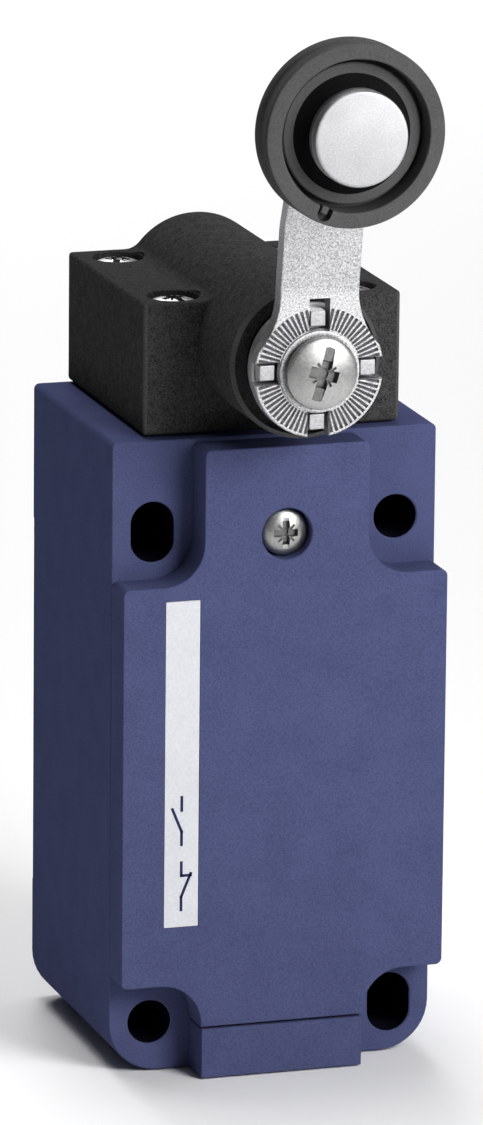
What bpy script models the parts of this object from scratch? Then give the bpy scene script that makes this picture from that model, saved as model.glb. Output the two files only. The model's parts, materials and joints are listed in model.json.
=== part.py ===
"""Roller-lever limit switch in a moulded housing, modelled in metres with +Z up.

The origin is midway between the two upper fixing holes, on the back plane that
rests on the machine. +X is to the right seen from the front, +Y points into the
machine, and the cover, lever and roller are on the -Y side.
"""

import math

import bmesh
import bpy
from mathutils import Matrix, Vector

MM = 0.001

# Clearances
SEAT_GAP = 0.3 * MM
SIDE_GAP = 0.15 * MM
RUNNING_GAP = 0.1 * MM
BUSH_CLEARANCE = 0.2 * MM

# How far a cutting tool passes the faces that it cuts
OVERCUT = 1.0 * MM

# Fixing holes
HOLE_PITCH_X = 30.0 * MM
HOLE_PITCH_Z = 60.0 * MM
HOLE_DIAMETER = 5.3 * MM
SLOT_LENGTH = 7.3 * MM

# Housing
SIDE_MARGIN = 5.0 * MM
TOP_MARGIN = 11.0 * MM
BOTTOM_MARGIN = 6.0 * MM
BODY_DEPTH = 33.0 * MM
FOOT_RADIUS = 6.0 * MM
TOP_EDGE_RADIUS = 0.6 * MM
SIDE_WALL = 3.5 * MM
BACK_WALL = 4.0 * MM
BACK_RELIEF = 0.5 * MM
TOP_PAD = 5.5 * MM
FOOT_PAD = 15.0 * MM
CHAMBER_TOP = 9.3 * MM
CHAMBER_FOOT = 15.2 * MM
CHAMBER_CORNER = 2.0 * MM
ENTRY_WALL = 9.0 * MM
ENTRY_DIAMETER = 20.0 * MM
ENTRY_POCKET_WIDTH = 19.6 * MM
ENTRY_LIP = 3.0 * MM
NOSE_HEIGHT = 6.06 * MM
NOSE_WIDTH = 20.0 * MM
THROAT_WIDTH = 16.0 * MM
THROAT_DEPTH = 14.0 * MM
THROAT_ROOF = 2.5 * MM
BACK_SCREW_REACH = 2.5 * MM

# Cover
COVER_THICKNESS = 5.0 * MM
COVER_SHOULDER_DROP = 5.6 * MM
COVER_FOOT_RISE = 5.75 * MM
COVER_TOP_STEP = 0.4 * MM
STEM_WIDTH = 20.2 * MM
COVER_NOTCH_RADIUS = 5.0 * MM
COVER_EDGE_RADIUS = 0.8 * MM
COVER_POCKET_DEPTH = 2.5 * MM
COVER_POCKET_RIM = 1.0 * MM
GASKET_OFFSET = 0.4 * MM
GASKET_WIDTH = 1.5 * MM
GASKET_THICKNESS = 1.1 * MM
LABEL_WIDTH = 4.2 * MM
LABEL_LENGTH = 39.7 * MM
LABEL_THICKNESS = 0.3 * MM
LABEL_CORNER = 0.2 * MM
LABEL_FROM_LEFT = 7.3 * MM
LABEL_BELOW_HOLES = 27.15 * MM
COVER_SCREW_SUNK = 0.4 * MM
COVER_SCREW_REACH = 7.5 * MM
COVER_SCREW_HOLE = 8.5 * MM
RETAINER_RIM = 0.5 * MM
RETAINER_SEAT_DEPTH = 1.2 * MM
RETAINER_PLAY = 0.2 * MM

# Operating head
HEAD_WIDTH = 31.6 * MM
HEAD_SETBACK = 1.35 * MM
HEAD_EDGE_RADIUS = 0.6 * MM
HEAD_HEIGHT = 15.7 * MM
SHAFT_HEIGHT = 11.0 * MM
BARREL_RADIUS = 9.1 * MM
BARREL_OVERHANG = 12.55 * MM
BARREL_CHAMFER = 0.5 * MM
BUSH_RADIUS = 6.6 * MM
BUSH_LENGTH = 9.1 * MM
SEAL_LENGTH = 2.7 * MM
CAM_CHAMBER_RADIUS = 6.3 * MM
HEAD_BACK_WALL = 6.0 * MM
TAIL_BEARING_DEPTH = 3.5 * MM
HEAD_SCREW_PITCH_X = 21.8 * MM
HEAD_SCREW_PITCH_Y = 22.6 * MM
HEAD_COUNTERBORE_RADIUS = 3.1 * MM
HEAD_COUNTERBORE_DEPTH = 2.5 * MM
HEAD_SCREW_REACH = 6.4 * MM
HEAD_SEAL_RADIUS = 6.4 * MM

# Shaft, cam and plunger
SHAFT_RADIUS = 3.5 * MM
CAM_RADIUS = 5.6 * MM
CAM_LENGTH = 9.0 * MM
CAM_FLAT_DEPTH = 0.8 * MM
CIRCLIP_GROOVE_DEPTH = 0.4 * MM
CIRCLIP_BAND = 1.4 * MM
CIRCLIP_MOUTH = 2.0 * MM
PLUNGER_FROM_BACK = 15.0 * MM
PLUNGER_HEAD_RADIUS = 4.7 * MM
PLUNGER_HEAD_HEIGHT = 2.2 * MM
PLUNGER_STEM_RADIUS = 2.0 * MM
PLUNGER_EDGE = 0.5 * MM
PLUNGER_TRAVEL = 3.0 * MM
SPRING_POCKET_DEPTH = 8.0 * MM
SPRING_POCKET_GAP = 0.5 * MM
PLUNGER_SPRING_WIRE = 0.9 * MM
PLUNGER_SPRING_TURNS = 4.5

# Lever
LEVER_LENGTH = 30.0 * MM
LEVER_THICKNESS = 2.0 * MM
LEVER_WIDTH = 9.6 * MM
LEVER_DISC_RADIUS = 7.85 * MM
LEVER_FLANK_START = 9.3 * MM
LEVER_FLANK_RADIUS = 9.7 * MM
LEVER_WINDOW_WIDTH = 2.5 * MM
LEVER_WINDOW_START = 4.6 * MM
LEVER_WINDOW_END = 8.6 * MM
LOWER_BEND = 9.5 * MM
MIDDLE_BEND = 17.4 * MM
UPPER_BEND_FROM_TOP = 3.0 * MM
LOWER_LEAN = 1.3 * MM
UPPER_LEAN = 4.2 * MM
HUB_RADIUS = 7.4 * MM
HUB_THICKNESS = 1.9 * MM
HUB_TO_BARREL = 0.8 * MM
LUG_SIZE = 1.8 * MM
LUG_CIRCLE = 6.1 * MM
LUG_RECESS = 0.6 * MM
LOCK_WASHER_RADIUS = 3.9 * MM
LOCK_WASHER_THICKNESS = 0.5 * MM
CLAMP_SCREW_REACH = 9.0 * MM

# Roller
ROLLER_RADIUS = 10.7 * MM
ROLLER_WIDTH = 4.9 * MM
ROLLER_FACE_DEPTH = 1.8 * MM
ROLLER_RIM = 1.8 * MM
ROLLER_GROOVE = 0.7 * MM
ROLLER_GROOVE_DEPTH = 3.0 * MM
ROLLER_BOSS_BASE = 6.8 * MM
ROLLER_BOSS_TOP = 5.8 * MM
ROLLER_EDGE = 0.35 * MM
ROLLER_WAIST_DEPTH = 0.4 * MM
ROLLER_LAND_SHARE = 0.24
ROLLER_WAIST_SHARE = 0.32
PIN_RADIUS = 2.5 * MM
PIN_HEAD_RADIUS = 5.6 * MM
PIN_HEAD_THICKNESS = 2.2 * MM
PIN_HEAD_PROUD = 2.0 * MM
PIN_EDGE = 0.3 * MM
RIVET_RIM = 0.8 * MM
RIVET_THICKNESS = 0.8 * MM
SPACER_THICKNESS = 1.6 * MM
SPACER_RADIUS = 4.0 * MM

# Contact block
BLOCK_SIDE_GAP = 1.1 * MM
BLOCK_BELOW_CHAMBER_TOP = 2.7 * MM
BLOCK_HEIGHT = 30.0 * MM
BLOCK_FRONT_SPACE = 9.0 * MM
BLOCK_WALL = 2.7 * MM
BLOCK_POCKET_WIDTH = 14.0 * MM
BLOCK_POCKET_BACK = 5.0 * MM
EAR_HEIGHT = 6.4 * MM
EAR_THICKNESS = 3.0 * MM
EAR_SCREW_INSET = 3.4 * MM
BLOCK_COVER_THICKNESS = 1.0 * MM
CARRIER_BELOW_CHAMBER_TOP = 0.7 * MM
CARRIER_WIDTH = 5.0 * MM
CARRIER_LENGTH = 23.0 * MM
BRIDGE_LENGTH = 12.0 * MM
BRIDGE_WIDTH = 2.4 * MM
STRIP = 0.8 * MM
UPPER_BRIDGE_DROP = 9.1 * MM
LOWER_BRIDGE_DROP = 17.6 * MM
TERMINAL_PITCH = 20.0 * MM
TERMINAL_SIZE = 6.0 * MM
TERMINAL_LEG = 3.2 * MM
TERMINAL_TAB_REACH = 2.1 * MM
TERMINAL_TAB_WIDTH = 4.0 * MM
TERMINAL_SCREW_REACH = 8.0 * MM
CLAMP_THICKNESS = 0.9 * MM
STRIP_JOIN = 0.1 * MM
RETURN_SPRING_WIRE = 0.7 * MM
RETURN_SPRING_TURNS = 3.5

# Screws: head radius, head height, shank radius
PAN_HEAD = (2.8 * MM, 2.2 * MM, 1.6 * MM)
CLAMP_HEAD = (4.25 * MM, 1.3 * MM, 2.0 * MM)
TERMINAL_HEAD = (2.6 * MM, 2.0 * MM, 1.4 * MM)
SCREW_CLEARANCE = 0.3 * MM

# Screw proportions: shares of the head's height or radius
HEAD_SIDE_SHARE = 0.55
HEAD_DOME_SHARE = 0.12
DRIVE_DEPTH_SHARE = 0.6
RECESS_LENGTH_SHARE = 1.15
RECESS_WIDTH_SHARE = 0.3
SLOT_REACH_SHARE = 1.1
SLOT_WIDTH_SHARE = 0.15

# Facets round a full turn
FINE = 40
MEDIUM = 32
COARSE = 24
SMALL = 16
CORNER = 4
COIL_TURN = 12

# Positions that follow from the sizes above
HALF_WIDTH = HOLE_PITCH_X / 2 + SIDE_MARGIN
BODY_TOP = TOP_MARGIN
BODY_FOOT = -HOLE_PITCH_Z - BOTTOM_MARGIN
FLANGE = -BODY_DEPTH
COVER_BACK = FLANGE - SEAT_GAP
COVER_FRONT = FLANGE - COVER_THICKNESS
CHAMBER_HALF = HALF_WIDTH - SIDE_WALL
CHAMBER_HIGH = -CHAMBER_TOP
CHAMBER_LOW = BODY_FOOT + CHAMBER_FOOT
ENTRY_Y = -BODY_DEPTH / 2
HEAD_FOOT = BODY_TOP + SEAT_GAP
HEAD_TOP = HEAD_FOOT + HEAD_HEIGHT
HEAD_FRONT = FLANGE + HEAD_SETBACK
HEAD_BACK = -SEAT_GAP
BARREL_FRONT = HEAD_FRONT - BARREL_OVERHANG
SHAFT_Z = BODY_TOP + SHAFT_HEIGHT
PLUNGER_Y = -PLUNGER_FROM_BACK
HUB_BACK = BARREL_FRONT - HUB_TO_BARREL
HUB_FRONT = HUB_BACK - HUB_THICKNESS
LEVER_BACK = HUB_FRONT - SEAT_GAP
LEVER_FRONT = LEVER_BACK - LEVER_THICKNESS
ROLLER_Z = SHAFT_Z + LEVER_LENGTH
ARM_TOP_FRONT = LEVER_FRONT - LOWER_LEAN - UPPER_LEAN
ROLLER_BACK = ARM_TOP_FRONT - SPACER_THICKNESS - 2 * SEAT_GAP
ROLLER_FRONT = ROLLER_BACK - ROLLER_WIDTH
BLOCK_TOP = CHAMBER_HIGH - BLOCK_BELOW_CHAMBER_TOP
BLOCK_FOOT = BLOCK_TOP - BLOCK_HEIGHT
BLOCK_BACK = -BACK_WALL - SEAT_GAP
BLOCK_FRONT = FLANGE + BLOCK_FRONT_SPACE
BLOCK_HALF = CHAMBER_HALF - BLOCK_SIDE_GAP
CARRIER_TOP = CHAMBER_HIGH - CARRIER_BELOW_CHAMBER_TOP


# ---------------------------------------------------------------- building tools

for leftover in list(bpy.data.objects):
    bpy.data.objects.remove(leftover)


def principled(name, colour, roughness, metallic=0.0):
    material = bpy.data.materials.new(name)
    material.use_nodes = True
    shader = material.node_tree.nodes["Principled BSDF"]
    shader.inputs["Base Color"].default_value = (*colour, 1.0)
    shader.inputs["Roughness"].default_value = roughness
    shader.inputs["Metallic"].default_value = metallic
    return material


HOUSING_BLUE = principled("housing_blue", (0.062, 0.066, 0.175), 0.5)
HEAD_BLACK = principled("head_black", (0.014, 0.014, 0.015), 0.55)
ROLLER_GREY = principled("roller_grey", (0.035, 0.035, 0.037), 0.5)
LEVER_ZINC = principled("lever_zinc", (0.62, 0.62, 0.63), 0.38, 1.0)
SCREW_STEEL = principled("screw_steel", (0.55, 0.54, 0.52), 0.3, 1.0)
SPRING_STEEL = principled("spring_steel", (0.45, 0.45, 0.46), 0.28, 1.0)
BRONZE = principled("bronze", (0.5, 0.32, 0.14), 0.4, 1.0)
BRASS = principled("brass", (0.72, 0.55, 0.24), 0.32, 1.0)
SEAL_RUBBER = principled("seal_rubber", (0.02, 0.02, 0.02), 0.8)
LABEL_WHITE = principled("label_white", (0.78, 0.78, 0.8), 0.45)
BLOCK_CREAM = principled("block_cream", (0.7, 0.66, 0.55), 0.5)
BLOCK_GREY = principled("block_grey", (0.2, 0.2, 0.21), 0.5)


def new_object(name, shape, material=None):
    """Wraps a closed bmesh in an object, with round faces smooth and corners sharp."""
    bmesh.ops.remove_doubles(shape, verts=shape.verts, dist=1e-7)
    bmesh.ops.recalc_face_normals(shape, faces=shape.faces)
    mesh = bpy.data.meshes.new(name)
    shape.to_mesh(mesh)
    shape.free()
    mesh.shade_smooth()
    mesh.set_sharp_from_angle(angle=math.radians(30))
    piece = bpy.data.objects.new(name, mesh)
    if material:
        mesh.materials.append(material)
    bpy.context.scene.collection.objects.link(piece)
    return piece


def place(axis, first, second, along):
    """Turns two section coordinates and one along the axis into x, y, z."""
    if axis == "X":
        return (along, first, second)
    if axis == "Y":
        return (first, along, second)
    return (first, second, along)


def prism(name, outline, axis, start, end, material=None):
    """Extrudes an outline in the plane across the axis."""
    shape = bmesh.new()
    corners = [shape.verts.new(place(axis, a, b, start)) for a, b in outline]
    face = shape.faces.new(corners)
    grown = bmesh.ops.extrude_face_region(shape, geom=[face])["geom"]
    moved = [item for item in grown if isinstance(item, bmesh.types.BMVert)]
    bmesh.ops.translate(shape, verts=moved, vec=place(axis, 0, 0, end - start))
    return new_object(name, shape, material)


def block(name, low, high, material=None):
    outline = [(low[0], low[1]), (high[0], low[1]), (high[0], high[1]), (low[0], high[1])]
    return prism(name, outline, "Z", low[2], high[2], material)


def rod(name, centre, radius, axis, start, end, facets=SMALL, material=None):
    return prism(name, circle(centre, radius, facets), axis, start, end, material)


def circle(centre, radius, facets):
    steps = [2 * math.pi * (step + 0.5) / facets for step in range(facets)]
    return [(centre[0] + radius * math.cos(a), centre[1] + radius * math.sin(a)) for a in steps]


def arc(centre, radius, start, end, facets):
    """Points on an arc, with its angles in degrees, both ends included."""
    steps = [math.radians(start + (end - start) * step / facets) for step in range(facets + 1)]
    return [(centre[0] + radius * math.cos(a), centre[1] + radius * math.sin(a)) for a in steps]


def slot(centre, width, length, facets):
    """A round-ended slot that runs along the second coordinate."""
    reach = (length - width) / 2
    upper = arc((centre[0], centre[1] + reach), width / 2, 0, 180, facets)
    lower = arc((centre[0], centre[1] - reach), width / 2, 180, 360, facets)
    return upper + lower


def rounded(corners, facets=6):
    """An outline whose corners, given as (a, b, radius), are rounded, inner ones too."""
    outline = []
    count = len(corners)
    for index, (a, b, radius) in enumerate(corners):
        corner = Vector((a, b))
        before = Vector(corners[index - 1][:2]) - corner
        after = Vector(corners[(index + 1) % count][:2]) - corner
        half_angle = before.angle(after) / 2
        reach = min(radius / math.tan(half_angle), 0.49 * before.length, 0.49 * after.length)
        if reach <= 0:
            outline.append((a, b))
            continue
        middle = (before.normalized() + after.normalized()).normalized()
        centre = corner + middle * (reach / math.cos(half_angle))
        start = corner + before.normalized() * reach - centre
        end = corner + after.normalized() * reach - centre
        turn = start.angle_signed(end)
        for step in range(facets + 1):
            spoke = start.copy()
            spoke.rotate(Matrix.Rotation(-turn * step / facets, 2))
            outline.append(tuple(centre + spoke))
    return outline


def rectangle(low, high, radius, facets=6):
    corners = [(low[0], low[1]), (high[0], low[1]), (high[0], high[1]), (low[0], high[1])]
    return rounded([(a, b, radius) for a, b in corners], facets)


def ring_prism(name, outer, inner, start, end, material=None):
    """A frame along Y between two outlines that have the same number of points."""
    shape = bmesh.new()
    loops = []
    for outline, along in ((outer, start), (outer, end), (inner, end), (inner, start)):
        loops.append([shape.verts.new((a, along, b)) for a, b in outline])
    count = len(outer)
    for number, loop in enumerate(loops):
        other = loops[(number + 1) % 4]
        for index in range(count):
            following = (index + 1) % count
            shape.faces.new((loop[index], loop[following], other[following], other[index]))
    return new_object(name, shape, material)


def turned(name, profile, axis, centre, facets, material=None, ring=False):
    """Spins a profile of (radius, along) about the axis through centre."""
    shape = bmesh.new()
    first, second = centre
    line = [shape.verts.new(place(axis, first + radius, second, along)) for radius, along in profile]
    edges = [shape.edges.new(pair) for pair in zip(line, line[1:])]
    if ring:
        edges.append(shape.edges.new((line[-1], line[0])))
    bmesh.ops.spin(
        shape,
        geom=line + edges,
        cent=place(axis, first, second, 0),
        axis=place(axis, 0, 0, 1),
        angle=2 * math.pi,
        steps=facets,
        use_merge=True,
    )
    return new_object(name, shape, material)


def combine(piece, tool, operation):
    """Adds a boolean with a hidden tool that follows the piece."""
    tool.hide_render = True
    tool.display_type = "WIRE"
    tool.parent = piece
    step = piece.modifiers.new(tool.name, "BOOLEAN")
    step.operation = operation
    step.object = tool


def cut(piece, *tools):
    for tool in tools:
        combine(piece, tool, "DIFFERENCE")


def add(piece, *tools):
    for tool in tools:
        combine(piece, tool, "UNION")


def cross(centre, length, width):
    """The outline of a cross recess."""
    a, b = length / 2, width / 2
    corners = [(a, b), (b, b), (b, a), (-b, a), (-b, b), (-a, b)]
    corners += [(-a, -b), (-b, -b), (-b, -a), (b, -a), (b, -b), (a, -b)]
    return [(centre[0] + x, centre[1] + y) for x, y in corners]


def screw(name, sizes, axis, centre, seat, tip, drive="cross", material=None):
    """A domed screw whose head stands on seat, and whose shank ends at tip."""
    head_radius, head_height, shank_radius = sizes
    away = 1 if seat > tip else -1
    top = seat + away * head_height
    shoulder = seat + away * head_height * HEAD_SIDE_SHARE
    profile = [
        (0, tip),
        (shank_radius * 0.7, tip),
        (shank_radius, tip + away * shank_radius * 0.5),
        (shank_radius, seat),
        (head_radius, seat),
        (head_radius, shoulder),
        (head_radius * 0.8, top - away * head_height * HEAD_DOME_SHARE),
        (head_radius * 0.45, top),
        (0, top),
    ]
    piece = turned(name, profile, axis, centre, SMALL, material or SCREW_STEEL)
    depth = head_height * DRIVE_DEPTH_SHARE
    length = head_radius * RECESS_LENGTH_SHARE
    outline = cross(centre, length, length * RECESS_WIDTH_SHARE)
    if drive == "slot":
        reach = head_radius * SLOT_REACH_SHARE
        half_width = head_radius * SLOT_WIDTH_SHARE
        outline = [
            (centre[0] + a * reach, centre[1] + b * half_width)
            for a, b in ((-1, -1), (1, -1), (1, 1), (-1, 1))
        ]
    cut(piece, prism(name + "_drive", outline, axis, top - away * depth, top + away * depth))
    return piece


def washer(name, inner, outer, axis, centre, start, end, facets, material):
    profile = [(inner, start), (outer, start), (outer, end), (inner, end)]
    return turned(name, profile, axis, centre, facets, material, ring=True)


def coil(name, centre, low, high, radius, wire, turns, material):
    """A compression spring along Z, from low to high over its wire."""
    steps = int(turns * COIL_TURN)
    curve = bpy.data.curves.new(name, "CURVE")
    curve.dimensions = "3D"
    curve.bevel_depth = wire / 2
    curve.bevel_resolution = 1
    curve.use_fill_caps = True
    spline = curve.splines.new("POLY")
    spline.points.add(steps)
    rise = high - low - wire
    for step in range(steps + 1):
        angle = 2 * math.pi * step / COIL_TURN
        x = centre[0] + radius * math.cos(angle)
        y = centre[1] + radius * math.sin(angle)
        spline.points[step].co = (x, y, low + wire / 2 + rise * step / steps, 1)
    curve.materials.append(material)
    piece = bpy.data.objects.new(name, curve)
    bpy.context.scene.collection.objects.link(piece)
    return piece


def ride_on(pivot_name, pivot, pieces):
    """Parents pieces to an empty that stands on their joint's axis."""
    empty = bpy.data.objects.new(pivot_name, None)
    empty.location = pivot
    bpy.context.scene.collection.objects.link(empty)
    for piece in pieces:
        piece.parent = empty
        piece.matrix_parent_inverse = Matrix.Translation(-Vector(pivot))
    return empty


# ---------------------------------------------------------------- housing

def make_housing():
    outline = rounded(
        [
            (-HALF_WIDTH, BODY_FOOT, FOOT_RADIUS),
            (HALF_WIDTH, BODY_FOOT, FOOT_RADIUS),
            (HALF_WIDTH, BODY_TOP, TOP_EDGE_RADIUS),
            (-HALF_WIDTH, BODY_TOP, TOP_EDGE_RADIUS),
        ]
    )
    body = prism("housing_body", outline, "Y", FLANGE, 0, HOUSING_BLUE)
    nose_half = NOSE_WIDTH / 2
    nose_low = (-nose_half, COVER_FRONT, BODY_FOOT)
    nose_high = (nose_half, FLANGE + OVERCUT, BODY_FOOT + NOSE_HEIGHT)
    add(body, block("nose", nose_low, nose_high))

    # The back rests on two pads, one round each pair of fixing holes.
    relief_low = (-HALF_WIDTH - OVERCUT, -BACK_RELIEF, BODY_FOOT + FOOT_PAD)
    relief_high = (HALF_WIDTH + OVERCUT, OVERCUT, -TOP_PAD)
    cut(body, block("back_relief", relief_low, relief_high))

    # The wiring chamber opens to the front, and drops behind a lip to the cable entry.
    low, high = (-CHAMBER_HALF, CHAMBER_LOW), (CHAMBER_HALF, CHAMBER_HIGH)
    chamber = rectangle(low, high, CHAMBER_CORNER, CORNER)
    cut(body, prism("chamber", chamber, "Y", FLANGE - OVERCUT, -BACK_WALL))
    pocket_floor = BODY_FOOT + ENTRY_WALL
    pocket_low = (-ENTRY_POCKET_WIDTH / 2, FLANGE + ENTRY_LIP, pocket_floor)
    pocket_high = (ENTRY_POCKET_WIDTH / 2, -BACK_WALL, CHAMBER_LOW + OVERCUT)
    cut(body, block("entry_pocket", pocket_low, pocket_high))
    entry_radius = ENTRY_DIAMETER / 2
    entry_top = pocket_floor + OVERCUT
    cut(body, rod("entry", (0, ENTRY_Y), entry_radius, "Z", BODY_FOOT - OVERCUT, entry_top, MEDIUM))

    # Two round holes and two slots, each pair across a diagonal.
    for side, row in ((-1, 0), (1, 0), (-1, 1), (1, 1)):
        centre = (side * HOLE_PITCH_X / 2, -row * HOLE_PITCH_Z)
        is_slot = (side < 0) == (row == 0)
        shape = slot(centre, HOLE_DIAMETER, SLOT_LENGTH, COARSE // 2)
        if not is_slot:
            shape = circle(centre, HOLE_DIAMETER / 2, COARSE)
        cut(body, prism(f"fixing_hole_{side}_{row}", shape, "Y", FLANGE - OVERCUT, OVERCUT))

    # The throat takes the plunger stem, under a pocket for its spring.
    pocket_foot = BODY_TOP - SPRING_POCKET_DEPTH
    centre = (0, PLUNGER_Y)
    spring_radius = PLUNGER_HEAD_RADIUS + SPRING_POCKET_GAP
    cut(body, rod("spring_pocket", centre, spring_radius, "Z", pocket_foot, BODY_TOP + OVERCUT))
    stem_hole = PLUNGER_STEM_RADIUS + SCREW_CLEARANCE
    cut(body, rod("stem_hole", centre, stem_hole, "Z", CHAMBER_HIGH, pocket_foot + OVERCUT))
    throat_low = (-THROAT_WIDTH / 2, PLUNGER_Y - THROAT_DEPTH / 2, CHAMBER_HIGH - OVERCUT)
    throat_high = (THROAT_WIDTH / 2, PLUNGER_Y + THROAT_DEPTH / 2, pocket_foot - THROAT_ROOF)
    cut(body, block("throat", throat_low, throat_high))

    # Blind holes for the screws of the head, the cover, the block and the earth clamp.
    radius = PAN_HEAD[2] + SCREW_CLEARANCE
    for number, (x, y) in enumerate(head_screw_places()):
        hole_foot = BODY_TOP - HEAD_SCREW_REACH - SEAT_GAP
        cut(body, rod(f"head_screw_hole_{number}", (x, y), radius, "Z", hole_foot, BODY_TOP + OVERCUT))
    hole_end = FLANGE + COVER_SCREW_HOLE
    cut(body, rod("cover_screw_hole", (0, 0), radius, "Y", FLANGE - OVERCUT, hole_end))
    small = TERMINAL_HEAD[2] + SCREW_CLEARANCE
    blind_end = -BACK_WALL + BACK_SCREW_REACH + SEAT_GAP
    for number, place_of_screw in enumerate(ear_screw_places() + [earth_place()]):
        hole = rod(f"back_hole_{number}", place_of_screw, small, "Y", -BACK_WALL - OVERCUT, blind_end)
        cut(body, hole)
    return body


def head_screw_places():
    middle = (HEAD_FRONT + HEAD_BACK) / 2
    reach_x, reach_y = HEAD_SCREW_PITCH_X / 2, HEAD_SCREW_PITCH_Y / 2
    return [(x, middle + y) for y in (-reach_y, reach_y) for x in (-reach_x, reach_x)]


def ear_screw_places():
    height = BLOCK_FOOT - EAR_HEIGHT / 2
    return [(side * (BLOCK_HALF - EAR_SCREW_INSET), height) for side in (-1, 1)]


def earth_place():
    return (0, BLOCK_FOOT - EAR_HEIGHT - TERMINAL_SIZE / 2)


# ---------------------------------------------------------------- cover

def cover_outline():
    stem_half = STEM_WIDTH / 2
    shoulder = -COVER_SHOULDER_DROP
    foot = -HOLE_PITCH_Z + COVER_FOOT_RISE
    top = BODY_TOP - COVER_TOP_STEP
    tongue = BODY_FOOT + NOSE_HEIGHT + SEAT_GAP
    edge, notch = COVER_EDGE_RADIUS, COVER_NOTCH_RADIUS
    right = [
        (stem_half, tongue, 0),
        (stem_half, foot, notch),
        (HALF_WIDTH, foot, edge),
        (HALF_WIDTH, shoulder, edge),
        (stem_half, shoulder, notch),
        (stem_half, top, edge),
    ]
    left = [(-a, b, radius) for a, b, radius in reversed(right)]
    return rounded(right + left, 5)


def gasket_outlines(clearance):
    outlines = []
    for offset in (GASKET_OFFSET + GASKET_WIDTH + clearance, GASKET_OFFSET - clearance):
        low = (-CHAMBER_HALF - offset, CHAMBER_LOW - offset)
        high = (CHAMBER_HALF + offset, CHAMBER_HIGH + offset)
        outlines.append(rectangle(low, high, CHAMBER_CORNER + offset, CORNER))
    return outlines


def make_cover():
    plate = prism("front_cover", cover_outline(), "Y", COVER_FRONT, COVER_BACK, HOUSING_BLUE)
    rim = COVER_POCKET_RIM
    low = (-CHAMBER_HALF + rim, CHAMBER_LOW + rim)
    high = (CHAMBER_HALF - rim, CHAMBER_HIGH - rim)
    pocket_face = COVER_BACK - COVER_POCKET_DEPTH
    pocket = rectangle(low, high, CHAMBER_CORNER, CORNER)
    cut(plate, prism("cover_pocket", pocket, "Y", pocket_face, FLANGE))
    outer, inner = gasket_outlines(SIDE_GAP)
    groove_face = COVER_BACK - GASKET_THICKNESS - SEAT_GAP
    cut(plate, ring_prism("gasket_groove", outer, inner, groove_face, FLANGE))
    outer, inner = gasket_outlines(0)
    gasket_face = COVER_BACK - GASKET_THICKNESS
    gasket = ring_prism("cover_gasket", outer, inner, gasket_face, COVER_BACK, SEAL_RUBBER)

    label_x = -HALF_WIDTH + LABEL_FROM_LEFT
    low = (label_x - LABEL_WIDTH / 2, -LABEL_BELOW_HOLES - LABEL_LENGTH / 2)
    high = (label_x + LABEL_WIDTH / 2, -LABEL_BELOW_HOLES + LABEL_LENGTH / 2)
    label_back = COVER_FRONT + LABEL_THICKNESS
    strip = rectangle(low, high, LABEL_CORNER, 1)
    label = prism("label_strip", strip, "Y", COVER_FRONT, label_back, LABEL_WHITE)
    seat_low = (low[0] - SIDE_GAP, COVER_FRONT - OVERCUT, low[1] - SIDE_GAP)
    seat_high = (high[0] + SIDE_GAP, label_back + SIDE_GAP, high[1] + SIDE_GAP)
    cut(plate, block("label_seat", seat_low, seat_high))

    # A captive screw in a counterbore, kept by a ring behind the cover.
    head_radius, head_height, shank_radius = PAN_HEAD
    floor = COVER_FRONT + head_height + COVER_SCREW_SUNK
    hole = shank_radius + SCREW_CLEARANCE
    wide = head_radius + SCREW_CLEARANCE
    cut(plate, rod("cover_counterbore", (0, 0), wide, "Y", COVER_FRONT - OVERCUT, floor, COARSE))
    cut(plate, rod("cover_screw_way", (0, 0), hole, "Y", floor - OVERCUT, FLANGE))
    ring_seat = COVER_BACK - RETAINER_SEAT_DEPTH
    ring_radius = head_radius + RETAINER_RIM
    cut(plate, rod("retainer_seat", (0, 0), ring_radius + SCREW_CLEARANCE, "Y", ring_seat, FLANGE))
    seat = floor - SIDE_GAP
    fastener = screw("cover_screw", PAN_HEAD, "Y", (0, 0), seat, FLANGE + COVER_SCREW_REACH)
    retainer = washer(
        "screw_retainer",
        shank_radius + SIDE_GAP,
        ring_radius,
        "Y",
        (0, 0),
        ring_seat + RETAINER_PLAY,
        COVER_BACK - RETAINER_PLAY,
        SMALL,
        SEAL_RUBBER,
    )
    return [plate, gasket, label, fastener, retainer]


# ---------------------------------------------------------------- operating head

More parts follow.
